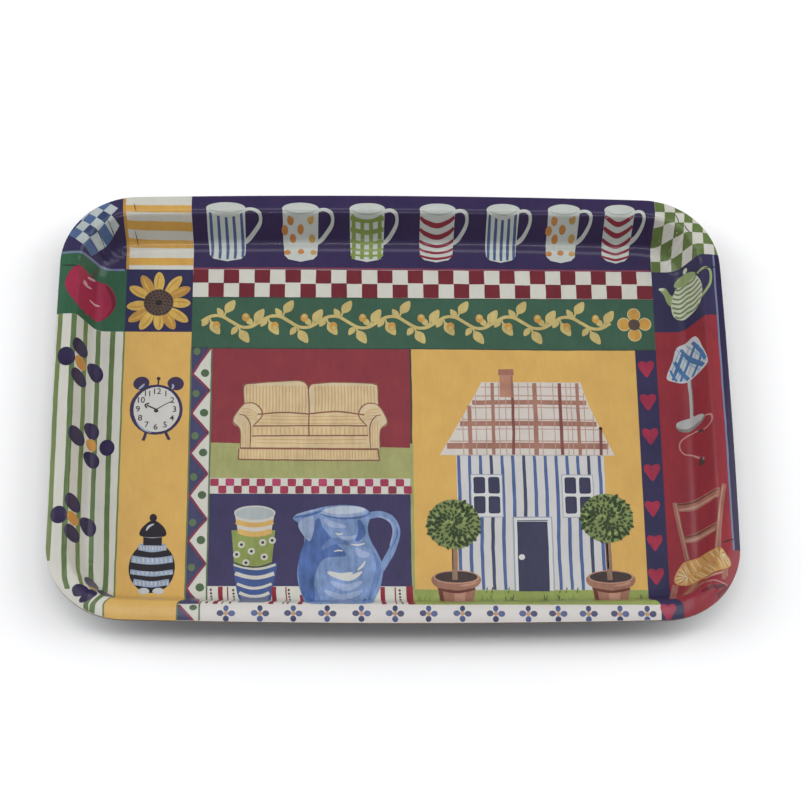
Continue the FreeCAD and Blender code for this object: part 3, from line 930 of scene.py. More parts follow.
art = bmesh.new()
fill(art, [(ZIGZAG_END, SOFA_FLOOR), (MIDDLE, SOFA_FLOOR), (ZIGZAG_END, SOFA_FLOOR + 3.4)], 4, 0)
fill(art, [(-96.8, 8), (-97.4, 20), (-96.2, 23.2), (-80, 25.0), (-61, 26.2), (-57, 24.6), (-54.6, 20.6),
           (-52.6, 23.6), (-38, 25.0), (-14, 24.4), (-9.6, 23.2), (-9.0, 10), (-12, 0), (-92, 0)], 0, 0)
fill(art, [(-92, 3.0), (-54, 2.6), (-14, 2.6), (-14, -22.4), (-92, -22.4)], 1, 1)
fill(art, [(-99.6, -22.4), (-10, -23.2), (-8.4, -30.8), (-99.9, -30.4)], 1, 1)
for mirror in (-1, 1):
    roll = sofa_end(mirror, ((-96.4, 9.6), (-91, 9.8), (-86.2, 6.0), (-85.0, 0), (-90.6, -6.4), (-92.4, -12),
                             (-92.4, -22.8), (-98.8, -22.8), (-99.2, -10), (-104.2, -4.6), (-102.2, 1.6),
                             (-99.4, 6.0)))
    fill(art, rounded(roll, 3), 0, 3)
    for width, spots_down in (
        (0.9, ((-96.6, 9.4), (-91, 9.8), (-86.4, 6.2), (-85.2, 0.4), (-90.4, -6.2))),
        (0.8, ((-99.8, 1.6), (-96, 0.4), (-92.8, -5.2), (-92.4, -13), (-92.6, -22.6))),
        (0.8, ((-96.6, 9.4), (-100.4, 5), (-104, -3.4), (-99.4, -9.4), (-98.8, -22.6))),
    ):
        stroke(art, sofa_end(mirror, spots_down), width, 3, 5, 0.3)
    for step in range(4):
        over_arm = ((-98.6 + step * 0.6, 5.6 - step * 2.1), (-93.5 + step, 5.4 - step * 2.4),
                    (-88.4 + step * 0.4, 2.4 - step * 2.0))
        stroke(art, sofa_end(mirror, over_arm), 0.7, 2, 4, 0.4)
    for step in range(3):
        down_arm = ((-97.4 + step * 1.7, -2.5 - step), (-97.3 + step * 1.7, -21.6))
        stroke(art, sofa_end(mirror, down_arm), 0.55, 2, 4)
BACK_START, BACK_END, TICK_STEP = -95.5, -10, 2.15
x = BACK_START
while x < BACK_END:
    if not -55.4 < x < -52.0:                     # the gap between the two back cushions
        stroke(art, ((x, 22.6), (x + 0.3, 12), (x, 3.0)), 0.9, 2, 1)
    x += TICK_STEP
for x in range(-91, -14, 3):
    stroke(art, ((x, -7.6), (x + 0.2, -13.0)), 0.8, 2, 2)
for x in range(-98, -9, 2):
    stroke(art, ((x, -23.8), (x + 0.2, -30.0)), 0.7, 2, 2)
for y in (0.6, -1.8, -4.4, -16.2, -18.8):
    stroke(art, ((-89, y), (-53, y - 0.4), (-17, y)), 0.7, 2, 2, 0.2)
for points, width in (
    (((-96.8, 9), (-97.4, 20), (-96, 23.4), (-80, 25.2), (-61, 26.3), (-57, 24.6), (-54.8, 19.8),
      (-54.2, 3)), 0.7),
    (((-54.6, 20), (-52.6, 23.7), (-38, 25.2), (-14, 24.5), (-9.4, 23), (-8.9, 11)), 0.7),
    (((-88, 1.8), (-70, 3.0), (-54.4, 2.0)), 1.0), (((-54, 2.2), (-36, 3.8), (-18, 1.6)), 1.0),
    (((-54.2, 3), (-54.4, -6), (-54.2, -14.0)), 0.8), (((-91, -6.8), (-54, -6.4), (-16, -6.4)), 0.9),
    (((-91.5, -14), (-54, -13.6), (-15.6, -13.4)), 0.9), (((-99, -22.8), (-54, -23.0), (-9, -23.2)), 1.3),
    (((-99.6, -23), (-100.0, -30.6)), 0.8), (((-100.0, -30.7), (-54, -31.2), (-8.2, -31.0)), 0.8),
    (((-8.2, -31.0), (-9.4, -23)), 0.8),
):
    stroke(art, points, width, 3, 6)
press("sofa", art, [*sofa_paints, meadow])

# ---------------------------------------------------------------- small checks
# Two rows of little pink-red squares on white divide the sofa from the jug.
# They were dabbed with a square brush, so their corners are blunt.
patch("small_checks", ZIGZAG_END, MIDDLE, SMALL_CHECKS[0], SMALL_CHECKS[1], white)
small_red = paint("small_red", (0.275, 0.035, 0.070), 0.45)
SMALL_COLUMNS = 13
art = bmesh.new()
small_pitch = (MIDDLE - ZIGZAG_END - 1.0) / SMALL_COLUMNS
for column in range(SMALL_COLUMNS):
    left = ZIGZAG_END + 0.8 + column * small_pitch
    bar(art, left - 0.2, left + 5.3, -49.6, -44.4, 2 if column % 3 == 1 else 0, 0, 0.8)
    bar(art, left + 5.0, left + 10.3, -54.8, -49.4, 1 if column % 2 else 0, 0, 0.8)
press("small_check_rows", art, [small_red, paint("small_dark", (0.190, 0.031, 0.052), 0.4),
                                paint("small_pink", (0.330, 0.045, 0.110), 0.4)])

# ---------------------------------------------------------------- table cloth
# The jug and cups stand before a navy wall. Below them hangs a white cloth with
# red bars, hairlines and rows of dots.
dusk_navy = paint("dusk_navy", (0.038, 0.032, 0.086))
patch("jug_wall", ZIGZAG_END, MIDDLE, CLOTH_LINE, SMALL_CHECKS[0], dusk_navy)
patch("table_cloth", ZIGZAG_END, MIDDLE, LIP_LINE, CLOTH_LINE, white)
cloth_red = paint("cloth_red", (0.200, 0.022, 0.035), 0.3)
cloth_dot = paint("cloth_dot", (0.087, 0.026, 0.035), 0.3)
art = bmesh.new()
for x, width, top in ((-110.0, 2.9, -119.4), (-76.0, 3.0, -119.4), (-58.3, 2.8, -125), (-6.9, 2.8, -119.4),
                      (10.2, 4.4, -118.6)):
    stroke(art, ((x, top), (x + 0.3, -141.0)), width, 0)
for x in (-105.5, -68.4, 1.0):
    stroke(art, ((x, -119.6), (x + 0.2, -130), (x, -140.8)), 0.8, 0)
for x in (-116.0, -101.8, -66.6, 3.8):
    for step in range(8):
        oval(art, x + 0.15 * step, -121.6 - 2.6 * step, 0.75, 0.9, 1, 0)
press("cloth_bars", art, [cloth_red, cloth_dot])

# ---------------------------------------------------------------- stacked cups
# Three cups stacked in one another: a white one banded yellow, a green one
# with ringed dots, and a blue one banded white.
cup_paints = palette(
    cup_white=(0.466, 0.448, 0.405, 0.12), cup_inside=(0.318, 0.353, 0.361, 0.25),
    cup_yellow=(0.501, 0.318, 0.100, 0.35), cup_green=(0.200, 0.248, 0.070, 0.45),
    cup_blue=(0.040, 0.074, 0.196, 0.45), cup_shadow=(0.109, 0.127, 0.213, 0.4),
    cup_dark=(0.026, 0.035, 0.035, 0.3),
)


def cup_body(top, low, top_half, low_half, middle, sag, ink, layer):
    """A tapering cup with a rounded foot line."""
    fill(art, [(middle - top_half, top), (middle - low_half, low + sag),
               (middle - low_half * 0.55, low + sag * 0.25), (middle, low),
               (middle + low_half * 0.55, low + sag * 0.25), (middle + low_half, low + sag),
               (middle + top_half, top)], ink, layer)


def cup_band(height, half_width, middle, sag, width, ink, layer):
    """A brushed band that dips round the front of a cup."""
    stroke(art, ((middle - half_width, height + sag), (middle - half_width * 0.5, height + 0.25 * sag),
                 (middle, height), (middle + half_width * 0.5, height + 0.25 * sag),
                 (middle + half_width, height + sag)), width, ink, layer)


art = bmesh.new()
cup_body(-103.0, -139.6, 14.4, 8.6, -88.2, 0.8, 4, 0)
fill(art, [(-97.2, -125.5), (-88, -127.5), (-79.6, -125.5), (-80.4, -139.6), (-96.2, -139.6)], 5, 1)
for height, half_width, width in ((-107.2, 13.4, 1.6), (-113.2, 12.4, 2.6), (-120.4, 10.9, 1.9),
                                  (-126.6, 9.6, 2.4)):
    cup_band(height, half_width, -88.4, 3.0, width, 0, 2)
cup_body(-80.6, -106.6, 14.0, 12.0, -89.6, 2.8, 3, 3)
cup_band(-106.0, 12.2, -89.2, 3.2, 0.9, 6, 4)
for x, y in ((-97.0, -90.6), (-83.4, -89.0), (-90.6, -95.2), (-82.4, -99.0), (-94.0, -103.0), (-77.4, -87.6),
             (-100.0, -97.4)):
    oval(art, x, y, 2.3, 2.4, 0, 4)
    oval(art, x, y, 1.0, 1.0, 6, 5)
cup_body(-67.0, -84.6, 13.2, 10.6, -88.8, 2.4, 0, 5)
cup_band(-77.0, 12.0, -88.8, 2.4, 3.4, 2, 6)
cup_band(-83.4, 10.6, -88.8, 2.2, 3.6, 2, 6)
oval(art, -88.8, -68.6, 13.3, 5.2, 0, 7)
oval(art, -88.8, -68.9, 12.4, 4.5, 1, 8)
press("stacked_cups", art, cup_paints)

# ---------------------------------------------------------------- jug
# A wide-bellied blue jug with a curled lip and a loop handle, brushed in
# washes from deep blue to near white.
jug_paints = palette(
    jug_blue=(0.150, 0.222, 0.385, 0.9), jug_deep=(0.058, 0.108, 0.275, 0.9),
    jug_mid=(0.100, 0.160, 0.330, 1.0), jug_pale=(0.245, 0.305, 0.450, 0.8),
    jug_light=(0.483, 0.483, 0.457, 0.2), jug_mouth=(0.370, 0.425, 0.510, 0.5),
)
art = bmesh.new()
stroke(art,
       ((-15.5, -70.5), (-9, -69.2), (-1.6, -72.0), (2.4, -80.0), (0.4, -91.0), (-4.6, -101.5), (-9, -109)),
       4.6, 0, 0)
stroke(art, ((-9, -70.6), (-1.8, -74.2), (0.4, -81.0), (-2.0, -91.0)), 1.5, 3, 1, 0.6)
stroke(art, ((2.6, -78.0), (2.4, -85.0), (-1.6, -94.0)), 0.9, 1, 1, 0.6)
fill(art, rounded([(-64.2, -72.2), (-60.6, -68.8), (-52, -66.4), (-44, -64.0), (-31, -62.8), (-19, -64.6),
                   (-14.4, -69.4), (-16.2, -78), (-15.0, -86), (-10.0, -96), (-6.6, -107), (-8.2, -119),
                   (-12.6, -130), (-14.6, -139.8), (-34, -140.4), (-54.4, -139.8), (-57.8, -127),
                   (-61.2, -113), (-60.0, -100), (-57.2, -91), (-57.4, -81), (-60.0, -76)], 4), 0, 1)
fill(art, rounded([(-60.0, -100), (-57.2, -90), (-53, -80), (-48, -72), (-44, -80), (-36, -90), (-30, -98),
                   (-44, -100), (-50, -112), (-50, -126), (-52, -138), (-57.4, -127), (-60.6, -113)], 4),
     1, 2)
fill(art, rounded([(-57.6, -84), (-60.8, -75.6), (-52, -70.4), (-50.5, -78), (-53, -88)], 4), 3, 3)
for points, width, ink in (
    (((-22, -73), (-20, -82), (-24, -88)), 4.6, 1), (((-46, -94), (-38, -88), (-28, -90)), 4.4, 2),
    (((-48, -103), (-44, -96), (-34, -92)), 3.0, 1), (((-44, -72), (-40, -76), (-30, -78)), 4.0, 3),
    (((-36, -84), (-30, -86), (-22, -84)), 2.6, 3), (((-24, -93), (-20, -97), (-15, -97)), 5.0, 3),
    (((-12, -96), (-9.5, -106), (-12, -118), (-16, -130)), 3.6, 2),
    (((-44, -122), (-32, -127), (-20, -122)), 5.0, 3), (((-46, -132), (-38, -134), (-36, -139)), 3.4, 2),
    (((-26, -130), (-24, -136), (-25, -139)), 3.0, 2), (((-18, -128), (-19, -134), (-20, -139)), 2.6, 1),
    (((-40, -116), (-30, -120), (-20, -116)), 4.6, 3), (((-50, -120), (-48, -130), (-50, -138)), 2.8, 2),
    (((-38, -112), (-28, -113.5), (-20, -109)), 3.6, 4),
    (((-42, -109.5), (-34, -112), (-26, -110)), 4.2, 4),
    (((-23, -108), (-19.6, -105), (-18, -101.5)), 1.6, 4),
    (((-37, -82.6), (-34.6, -83.2), (-32, -82.8)), 1.3, 4),
    (((-27, -90), (-23, -90.6), (-18, -89.6)), 1.2, 4), (((-38, -95), (-35, -94.4), (-32, -94.8)), 1.1, 4),
    (((-23, -97.2), (-21, -96.8), (-19.4, -95.8)), 1.0, 4),
):
    stroke(art, points, width, ink, 3, 0.75)
oval(art, -31.6, -67.4, 15.0, 4.1, 3, 4, 2)
oval(art, -31.0, -66.4, 13.4, 2.7, 5, 5, 2)
stroke(art, ((-46.5, -69.2), (-38, -71.6), (-28, -72.2), (-18, -70.8), (-14.6, -68.0)), 1.1, 1, 6, 0.5)
stroke(art, ((-63.4, -71.6), (-56, -70.4), (-50, -68.6), (-45.6, -66.8)), 1.6, 1, 6, 0.6)
stroke(art, ((-62, -69.8), (-55, -67.8), (-48, -66.0)), 1.5, 3, 6, 0.6)
press("jug", art, jug_paints)

# ---------------------------------------------------------------- house
# A striped cottage under a checked roof, with two windows and a dark door, on
# a strip of grass.
grass_green = paint("grass_green", (0.225, 0.275, 0.082), 0.35)
patch("house_sky", MIDDLE, HOUSE_END, -121.5, BANNER[0], yellow)
patch("house_grass", MIDDLE, HOUSE_END, LIP_LINE, -121.5, grass_green)
house_paints = palette(
    wall_white=(0.480, 0.472, 0.470, 0.10), stripe_blue=(0.065, 0.105, 0.235, 0.5),
    stripe_dark=(0.044, 0.053, 0.105, 0.4), pane=(0.036, 0.037, 0.074, 0.35),
    frame_white=(0.518, 0.518, 0.518, 0.05), frame_shade=(0.257, 0.283, 0.344, 0.2),
)
WALL_LEFT, WALL_RIGHT, WALL_TOP, WALL_FOOT = 41.8, 138.2, -27.0, -121.8
art = bmesh.new()
bar(art, WALL_LEFT, WALL_RIGHT, WALL_FOOT, WALL_TOP, 0)
STRIPES = 14
for number in range(STRIPES):
    x = WALL_LEFT + 1.4 + (WALL_RIGHT - WALL_LEFT - 4.4) * number / (STRIPES - 1)
    ink = 2 if number in (3, 6, 12) else 1
    stroke(art, ((x, WALL_TOP - 0.4), (x + 0.4, -60), (x - 0.2, -92), (x + 0.2, WALL_FOOT + 0.6)),
           2.3, ink, 1, 0.15)
for left, right in ((51.2, 71.0), (110.4, 130.2)):
    bar(art, left - 0.5, right + 0.5, -71.2, -40.8, 5, 2)
    bar(art, left, right, -70.6, -41.4, 4, 3)
    middle = (left + right) / 2
    for low, high in ((-54.4, -42.8), (-68.4, -56.4)):
        for pane_left, pane_right in ((left + 1.4, middle - 1.0), (middle + 1.0, right - 1.4)):
            bar(art, pane_left, pane_right, low, high, 3, 4, 1.3)
bar(art, 77.2, 103.0, WALL_FOOT, -70.6, 5, 2)
bar(art, 78.2, 102.2, WALL_FOOT, -71.4, 4, 3)
bar(art, 80.0, 99.8, WALL_FOOT - 0.4, -74.0, 3, 4)
stroke(art, ((80.2, -73.4), (100.2, -73.2)), 0.6, 2, 5)
oval(art, 82.6, -98.8, 2.0, 2.0, 4, 5)
press("house_walls", art, house_paints)

roof_paints = palette(
    roof_white=(0.510, 0.470, 0.430, 0.12), tartan_pale=(0.379, 0.248, 0.209, 0.4),
    tartan_brown=(0.283, 0.140, 0.105, 0.4), tartan_dark=(0.174, 0.061, 0.053, 0.4),
    brick=(0.355, 0.175, 0.122, 0.4), brick_dark=(0.270, 0.120, 0.085, 0.3),
)
ROOF_TOP, ROOF_LOW = 25.8, -27.2


def roof_side(y):
    """Left and right edges of the roof at a height: straight slopes kicked out at the eaves."""
    part = (ROOF_TOP - y) / (ROOF_TOP - ROOF_LOW)
    return 59.4 - 28.4 * part ** 1.05, 125.2 + 20.6 * part ** 1.25


def roof_top_at(x):
    """How high a line down the roof may start at this place along it."""
    over = max(0.0, (59.4 - x) / 28.4) ** (1 / 1.05) + max(0.0, (x - 125.2) / 20.6) ** (1 / 1.25)
    return ROOF_TOP - over * (ROOF_TOP - ROOF_LOW) - 0.6


art = bmesh.new()
heights = [ROOF_TOP + (ROOF_LOW - ROOF_TOP) * step / 6 for step in range(7)]
fill(art, [(roof_side(y)[0], y) for y in heights] + [(roof_side(y)[1], y) for y in reversed(heights)], 0)
for y, width, ink in ((15.6, 0.9, 1), (10.8, 3.4, 2), (7.0, 0.8, 1), (-4.6, 3.6, 2), (-1.6, 0.7, 1),
                      (-20.6, 4.2, 2), (-17.2, 0.8, 1), (22.0, 0.7, 1), (-8.6, 0.7, 1)):
    left, right = roof_side(y)
    stroke(art, ((left + 1.2, y), ((left + right) / 2, y + 0.4), (right - 1.0, y)), width, ink, 1)
for x, foot, width, ink in ((66.4, 66.4, 2.2, 2), (79.6, 79.4, 1.9, 3), (94.4, 94.4, 2.9, 2),
                            (111.0, 111.4, 2.2, 3), (122.6, 123.0, 2.2, 2), (51.0, 51.2, 2.6, 2),
                            (136.8, 136.6, 2.0, 3)):
    stroke(art, ((x, roof_top_at(x)), (x + 0.2, -8), (foot, ROOF_LOW + 0.4)), width, ink, 2)
    for beside in (-4.4, 4.2):
        stroke(art, ((x + beside, roof_top_at(x + beside)), (foot + beside, ROOF_LOW + 0.5)), 0.6, 1, 2)
fill(art, [(71.4, 14.8), (80.4, 14.6), (80.2, 31), (71.6, 31)], 4, 3)
fill(art, [(70.6, 31), (81, 31), (80.8, 35.4), (71.0, 35.4)], 5, 4)
stroke(art, ((79.6, 15), (79.6, 30.6)), 1.2, 5, 4)
press("house_roof", art, roof_paints)

blade_dark = paint("blade_dark", (0.057, 0.105, 0.035), 0.4)
blade_mid = paint("blade_mid", (0.140, 0.205, 0.057), 0.4)
art = bmesh.new()
for clump, count, ink in ((17, 5, 1), (21.5, 4, 1), (57.5, 4, 1), (62.5, 4, 1), (75.5, 8, 0), (96.5, 5, 0),
                          (107, 6, 0), (113.5, 5, 1), (157.5, 7, 0), (160.5, 4, 1)):
    for blade in range(count):
        foot = clump + (blade - count / 2) * 1.0
        bend = 1.4 * math.sin(blade * 2.1 + clump)
        reach = 6.0 + 3.5 * math.sin(blade * 1.3 + clump * 0.7)
        stroke(art, ((foot, -133.5), (foot + bend * 0.4, -133.5 + reach * 0.5),
                     (foot + bend, -133.5 + reach)), 0.8, ink, 0, 0.6)
for x in (59, 62.5, 73, 106, 110, 117):
    stroke(art, ((x, -123.6), (x + 0.8, -119.4)), 0.9, 0, 0, 0.6)
press("grass_tufts", art, [blade_dark, blade_mid])

# ---------------------------------------------------------------- potted trees
# A clipped ball tree in a clay pot stands at each side of the cottage. The
# leaves are dabs of light and dark green over a middle green.
ball_green = paint("ball_green", (0.150, 0.190, 0.066), 0.4)
ball_light = paint("ball_light", (0.240, 0.285, 0.110), 0.3)
ball_dark = paint("ball_dark", (0.030, 0.050, 0.020), 0.3)
bark = paint("bark", (0.222, 0.140, 0.096), 0.4)
clay = paint("clay", (0.255, 0.125, 0.088), 0.45)
clay_light = paint("clay_light", (0.370, 0.205, 0.150), 0.4)
clay_dark = paint("clay_dark", (0.105, 0.035, 0.026), 0.4)
soil = paint("soil", (0.044, 0.031, 0.029), 0.3)
POT_FOOT = -134.0
DABS = 140
GOLDEN_ANGLE = 2.39996                            # radians; it spreads the dabs evenly


def potted_tree(name, x, ball_y, ball_radius, pot_x, pot_y):
    """One tree: trunk, tapered pot with a rolled rim, soil, and a ball of leaves."""
    art = bmesh.new()
    stroke(art, ((x, ball_y - ball_radius + 3), (x + 0.2, -100), (x + 0.2, pot_y - 1)), 3.6, 3)
    stroke(art, ((x - 1.1, ball_y - ball_radius + 1), (x - 1.0, pot_y - 1)), 0.8, 6, 1)
    fill(art, [(pot_x - 12.4, pot_y - 7), (pot_x + 12.2, pot_y - 7), (pot_x + 9.8, POT_FOOT),
               (pot_x - 9.6, POT_FOOT)], 4, 2)
    foot = POT_FOOT + 0.4
    fill(art, [(pot_x - 1.5, pot_y - 9), (pot_x + 6.0, pot_y - 9), (pot_x + 4.8, foot),
               (pot_x - 1.6, foot)], 5, 3)
    stroke(art, ((pot_x - 10.4, pot_y - 9), (pot_x - 8.8, foot)), 2.6, 6, 3, 0.2)
    stroke(art, placed(((-12, -8.6), (0, -10.8), (12, -8.6)), pot_x, pot_y), 2.0, 6, 4, 0.3)
    rim = ((-14.8, 0), (-14.2, -6.2), (-7, -8.8), (0, -9.6), (7, -8.8), (14.0, -6.2), (14.8, 0), (0, 3.6))
    fill(art, rounded(placed(rim, pot_x, pot_y), 4), 4, 5)
    oval(art, pot_x, pot_y - 0.6, 14.8, 4.7, 5, 6)
    oval(art, pot_x, pot_y - 0.5, 13.6, 3.9, 7, 7)
    stroke(art, placed(((2, -6.6), (8, -5.8), (12.8, -4)), pot_x, pot_y), 1.6, 5, 6, 0.7)
    stroke(art, ((x, pot_y + 5), (x + 0.2, pot_y - 2.6)), 3.4, 3, 8)
    oval(art, x, ball_y, ball_radius, ball_radius, 0, 8)
    press(name, art, [ball_green, ball_light, ball_dark, bark, clay, clay_light, clay_dark, soil])
    art = bmesh.new()
    for dab in range(DABS):
        reach = ball_radius * math.sqrt((dab + 0.5) / DABS) * 0.99
        angle = dab * GOLDEN_ANGLE
        dab_x, dab_y = x + reach * math.cos(angle), ball_y + reach * math.sin(angle)
        lean = angle + 1.9 * noise.noise(Vector((dab_x, dab_y, 0.0)) * 0.3)
        light = dab % 4 == 1
        half = (0.9 if light else 1.8) + 0.4 * math.sin(dab * 0.9)
        along = Vector((math.cos(lean), math.sin(lean))) * half
        side = Vector((-along.y, along.x)) * 0.5
        spot = Vector((dab_x, dab_y))
        fill(art, [spot - along, spot - along * 0.5 + side, spot + along * 0.5 + side, spot + along,
                   spot + along * 0.5 - side, spot - along * 0.5 - side], 0 if light else 1, 9)
    press(name + "_leaves", art, [ball_light, ball_dark])


potted_tree("tree_left", 39.2, -76.0, 17.4, 40.2, -112.0)
potted_tree("tree_right", 138.2, -71.6, 17.2, 139.0, -111.8)

# ---------------------------------------------------------------- lip flowers
# Fourteen small blue flowers are strung along the white near lip, each of
# four dabs round an orange heart.
lip_white = paint("bright_white", (0.535, 0.510, 0.490), 0.06)
patch("near_lip", ZIGZAG_END, HOUSE_END, -OUTSIDE, LIP_LINE, lip_white)
lip_blue = paint("lip_blue", (0.057, 0.079, 0.196), 0.5)
lip_navy = paint("lip_navy", (0.035, 0.040, 0.105), 0.4)
lip_heart = paint("lip_heart", (0.388, 0.222, 0.118), 0.3)
LIP_MIDDLE = -147.2
for number, x in enumerate((-102.6, -82.0, -61.8, -41.2, -20.4, 0.0, 20.4,
                            41.0, 61.4, 81.2, 99.4, 118.0, 137.2, 153.8)):
    art = bmesh.new()
    for petal, (over, up, half_width, half_height) in enumerate((
        (0, 3.3, 1.6, 2.0), (-3.5, 0.2, 2.1, 1.9), (3.5, 0.0, 2.1, 1.9), (0, -3.3, 1.8, 1.9),
    )):
        oval(art, x + over, LIP_MIDDLE + up, half_width, half_height, (petal + number) % 2, 0)
    oval(art, x, LIP_MIDDLE, 1.5, 1.3, 2, 1)
    press("lip_flower_%d" % (number + 1), art, [lip_blue, lip_navy, lip_heart])

# ---------------------------------------------------------------- hearts
# A column of rough red hearts runs down the navy strip, the last one on the
# lip. Each is one pull of the brush to either side.
navy = paint("ink_navy", (0.027, 0.023, 0.068))
patch("heart_strip", HOUSE_END, HEARTS_END, -OUTSIDE, BANNER[0], navy)
heart_red = paint("heart_red", (0.270, 0.022, 0.054), 0.45)
HEART = ((0, -6.6), (-3.0, -2.6), (-5.3, 1.4), (-4.9, 4.6), (-2.4, 5.4), (0, 4.2), (2.4, 5.6), (5.0, 4.9),
         (5.2, 1.6), (3.0, -2.4))
for number, (x, y, size) in enumerate((
    (169.4, 36.4, 1.0), (169.4, 12.0, 1.0), (169.6, -12.8, 1.0), (169.4, -38.8, 1.0),
    (168.4, -64.4, 0.92), (168.6, -88.4, 0.92), (168.2, -111.6, 0.95), (166.8, -145.6, 0.9),
)):
    art = bmesh.new()
    fill(art, rounded([(x + over * size, y + up * size) for over, up in HEART], 3), 0)
    press("heart_%d" % (number + 1), art, [heart_red])

# ---------------------------------------------------------------- teapot
# The far right corner has a green check on white. On navy below it stands a
# cream teapot with wavering green stripes.
patch("green_corner", HEARTS_END, OUTSIDE, CORNER_LINE, OUTSIDE, white)
patch("teapot_field", HEARTS_END, RIM_LINE, 63.5, CORNER_LINE, navy)
corner_green = paint("corner_green", (0.098, 0.145, 0.042), 0.4)
CHECK_X = (176.6, 183.0, 190.0, 196.2, 201.8, 209.0, 216.0, 221.0)
CHECK_Y = (109.0, 117.0, 125.6, 133.0, 141.0, 149.6, 154.0)
art = bmesh.new()
for row, (low, high) in enumerate(zip(CHECK_Y, CHECK_Y[1:])):
    for column, (left, right) in enumerate(zip(CHECK_X, CHECK_X[1:])):
        if (row + column) % 2 == 0:
            bar(art, left, right, low, high, 0)
press("green_check", art, [corner_green])

teapot_paints = palette(
    pot_cream=(0.450, 0.480, 0.370, 0.2), pot_green=(0.148, 0.192, 0.087, 0.4),
    pot_leaf=(0.227, 0.283, 0.122, 0.35),
)
art = bmesh.new()
stroke(art, ((204, 97), (209.5, 99), (212.2, 96), (211.8, 88), (208.5, 82), (205, 78)), 1.7, 2, 0)
fill(art, rounded([(191.5, 80), (186.6, 84.5), (184.2, 91), (181.8, 95.6), (185.4, 96.8), (188.2, 92),
                   (191.6, 88)], 4), 2, 0)
oval(art, 182.8, 95.8, 1.9, 1.1, 0, 1)
fill(art, rounded([(191.4, 93.6), (189.4, 88), (188.6, 80), (190.6, 74), (196, 71), (201.6, 71.8),
                   (205.0, 76), (206.2, 84), (205.2, 92), (202.6, 97), (196, 98.4)], 4), 0, 1)
for number in range(7):
    y = 73.6 + 3.5 * number
    half = 8.6 - 0.42 * abs(number - 2.6) ** 1.6
    stroke(art, ((197.6 - half, y + 1.2), (194, y - 0.4), (198, y + 0.5), (201.6, y - 0.4),
                 (197.6 + half, y + 1.4)), 1.6, 1, 2, 0.25)
fill(art, rounded([(191.6, 97.2), (192.6, 101.2), (197, 103.6), (201.4, 101.4), (203.2, 97.0),
                   (197.4, 95.6)], 4), 2, 3)
oval(art, 198.0, 105.2, 1.1, 1.8, 0, 4)
press("teapot", art, teapot_paints)

# ---------------------------------------------------------------- lamp
# A bedside lamp with a blue gingham shade stands on the red field, its flex
# looping to a small plug.
scarlet = paint("brick_red", (0.225, 0.022, 0.032))
rim_purple = paint("rim_purple", (0.012, 0.006, 0.042))
patch("lamp_wall", HEARTS_END, RIM_LINE, -OUTSIDE, 63.5, scarlet)
patch("right_rim", RIM_LINE, OUTSIDE, RIM_END, CORNER_LINE, rim_purple)
patch("right_rim_end", RIM_LINE, OUTSIDE, -OUTSIDE, RIM_END, scarlet)
lamp_paints = palette(
    shade_white=(0.431, 0.440, 0.457, 0.15), shade_blue=(0.050, 0.130, 0.270, 0.5),
    lamp_grey=(0.361, 0.361, 0.353, 0.2), lamp_shadow=(0.179, 0.170, 0.170, 0.3),
    flex_pink=(0.396, 0.187, 0.187, 0.3), plug_dark=(0.053, 0.035, 0.035, 0.3),
    shade_pale=(0.190, 0.310, 0.400, 0.4),
)
art = bmesh.new()
fill(art, rounded([(190.4, 51.6), (196, 53.2), (201.4, 53.8), (204.2, 44), (206.8, 31.6), (204.6, 27.6),
                   (196, 25.0), (186.6, 26.6), (182.6, 29.8), (187, 41)], 3), 0, 1)
for points, width in (
    (((193, 50), (198, 40), (204.6, 29.4)), 2.4), (((199.6, 51), (203, 42), (205.6, 33)), 1.8),
    (((188.6, 41), (192, 34), (196.6, 26.4)), 2.6), (((186.6, 27.6), (190, 36), (194.6, 47.8)), 2.2),
    (((191.6, 26.6), (196, 36), (201, 48)), 1.8), (((198.6, 26.6), (201.4, 32), (204.4, 40)), 1.6),
    (((185.4, 35), (187.4, 30), (189.4, 26.6)), 1.6),
):
    stroke(art, points, width, 1, 3, 0.2)
for points in (
    ((190.6, 50), (196, 39.6), (202.6, 27.4)), ((196.2, 52), (200.6, 43), (206, 31)),
    ((187.4, 42), (189.4, 36), (194, 26.2)), ((184.6, 30), (188.4, 39.6), (192.2, 48.8)),
    ((188.8, 26.8), (193, 36), (198, 49.6)), ((194.4, 25.8), (198.6, 35), (203, 46)),
    ((201.4, 26.8), (203.4, 31), (205.4, 36)),
):
    stroke(art, points, 0.7, 6, 2, 0.2)
stroke(art, ((196.8, 25), (197.2, 10), (197, -4.6)), 1.9, 2, 1)
stroke(art, ((197.7, 24), (198.1, 10), (197.8, -4.6)), 0.5, 3, 2)
oval(art, 195.2, -6.4, 8.4, 4.4, 3, 1)
oval(art, 195.0, -5.2, 8.0, 3.7, 2, 2)
stroke(art, ((188, -7.4), (194, -9.0), (201, -7.6)), 0.9, 3, 3, 0.5)
stroke(art, ((197.2, -0.6), (197, -5.4)), 2.2, 2, 3, 0.3)
stroke(art, ((203.6, -6), (206.6, -8.6), (206.4, -13), (203, -15.2), (198, -13.2), (193, -14), (189, -17.6),
             (188.6, -22.4), (191.4, -26.4), (196, -28.4), (199.6, -33)), 0.9, 4, 1)
stroke(art, ((199.8, -14), (202.2, -15.8)), 1.7, 5, 2)
oval(art, 200.4, -36.4, 1.5, 2.6, 5, 2)
oval(art, 201.4, -35.0, 0.5, 1.3, 3, 3)
press("lamp", art, lamp_paints)

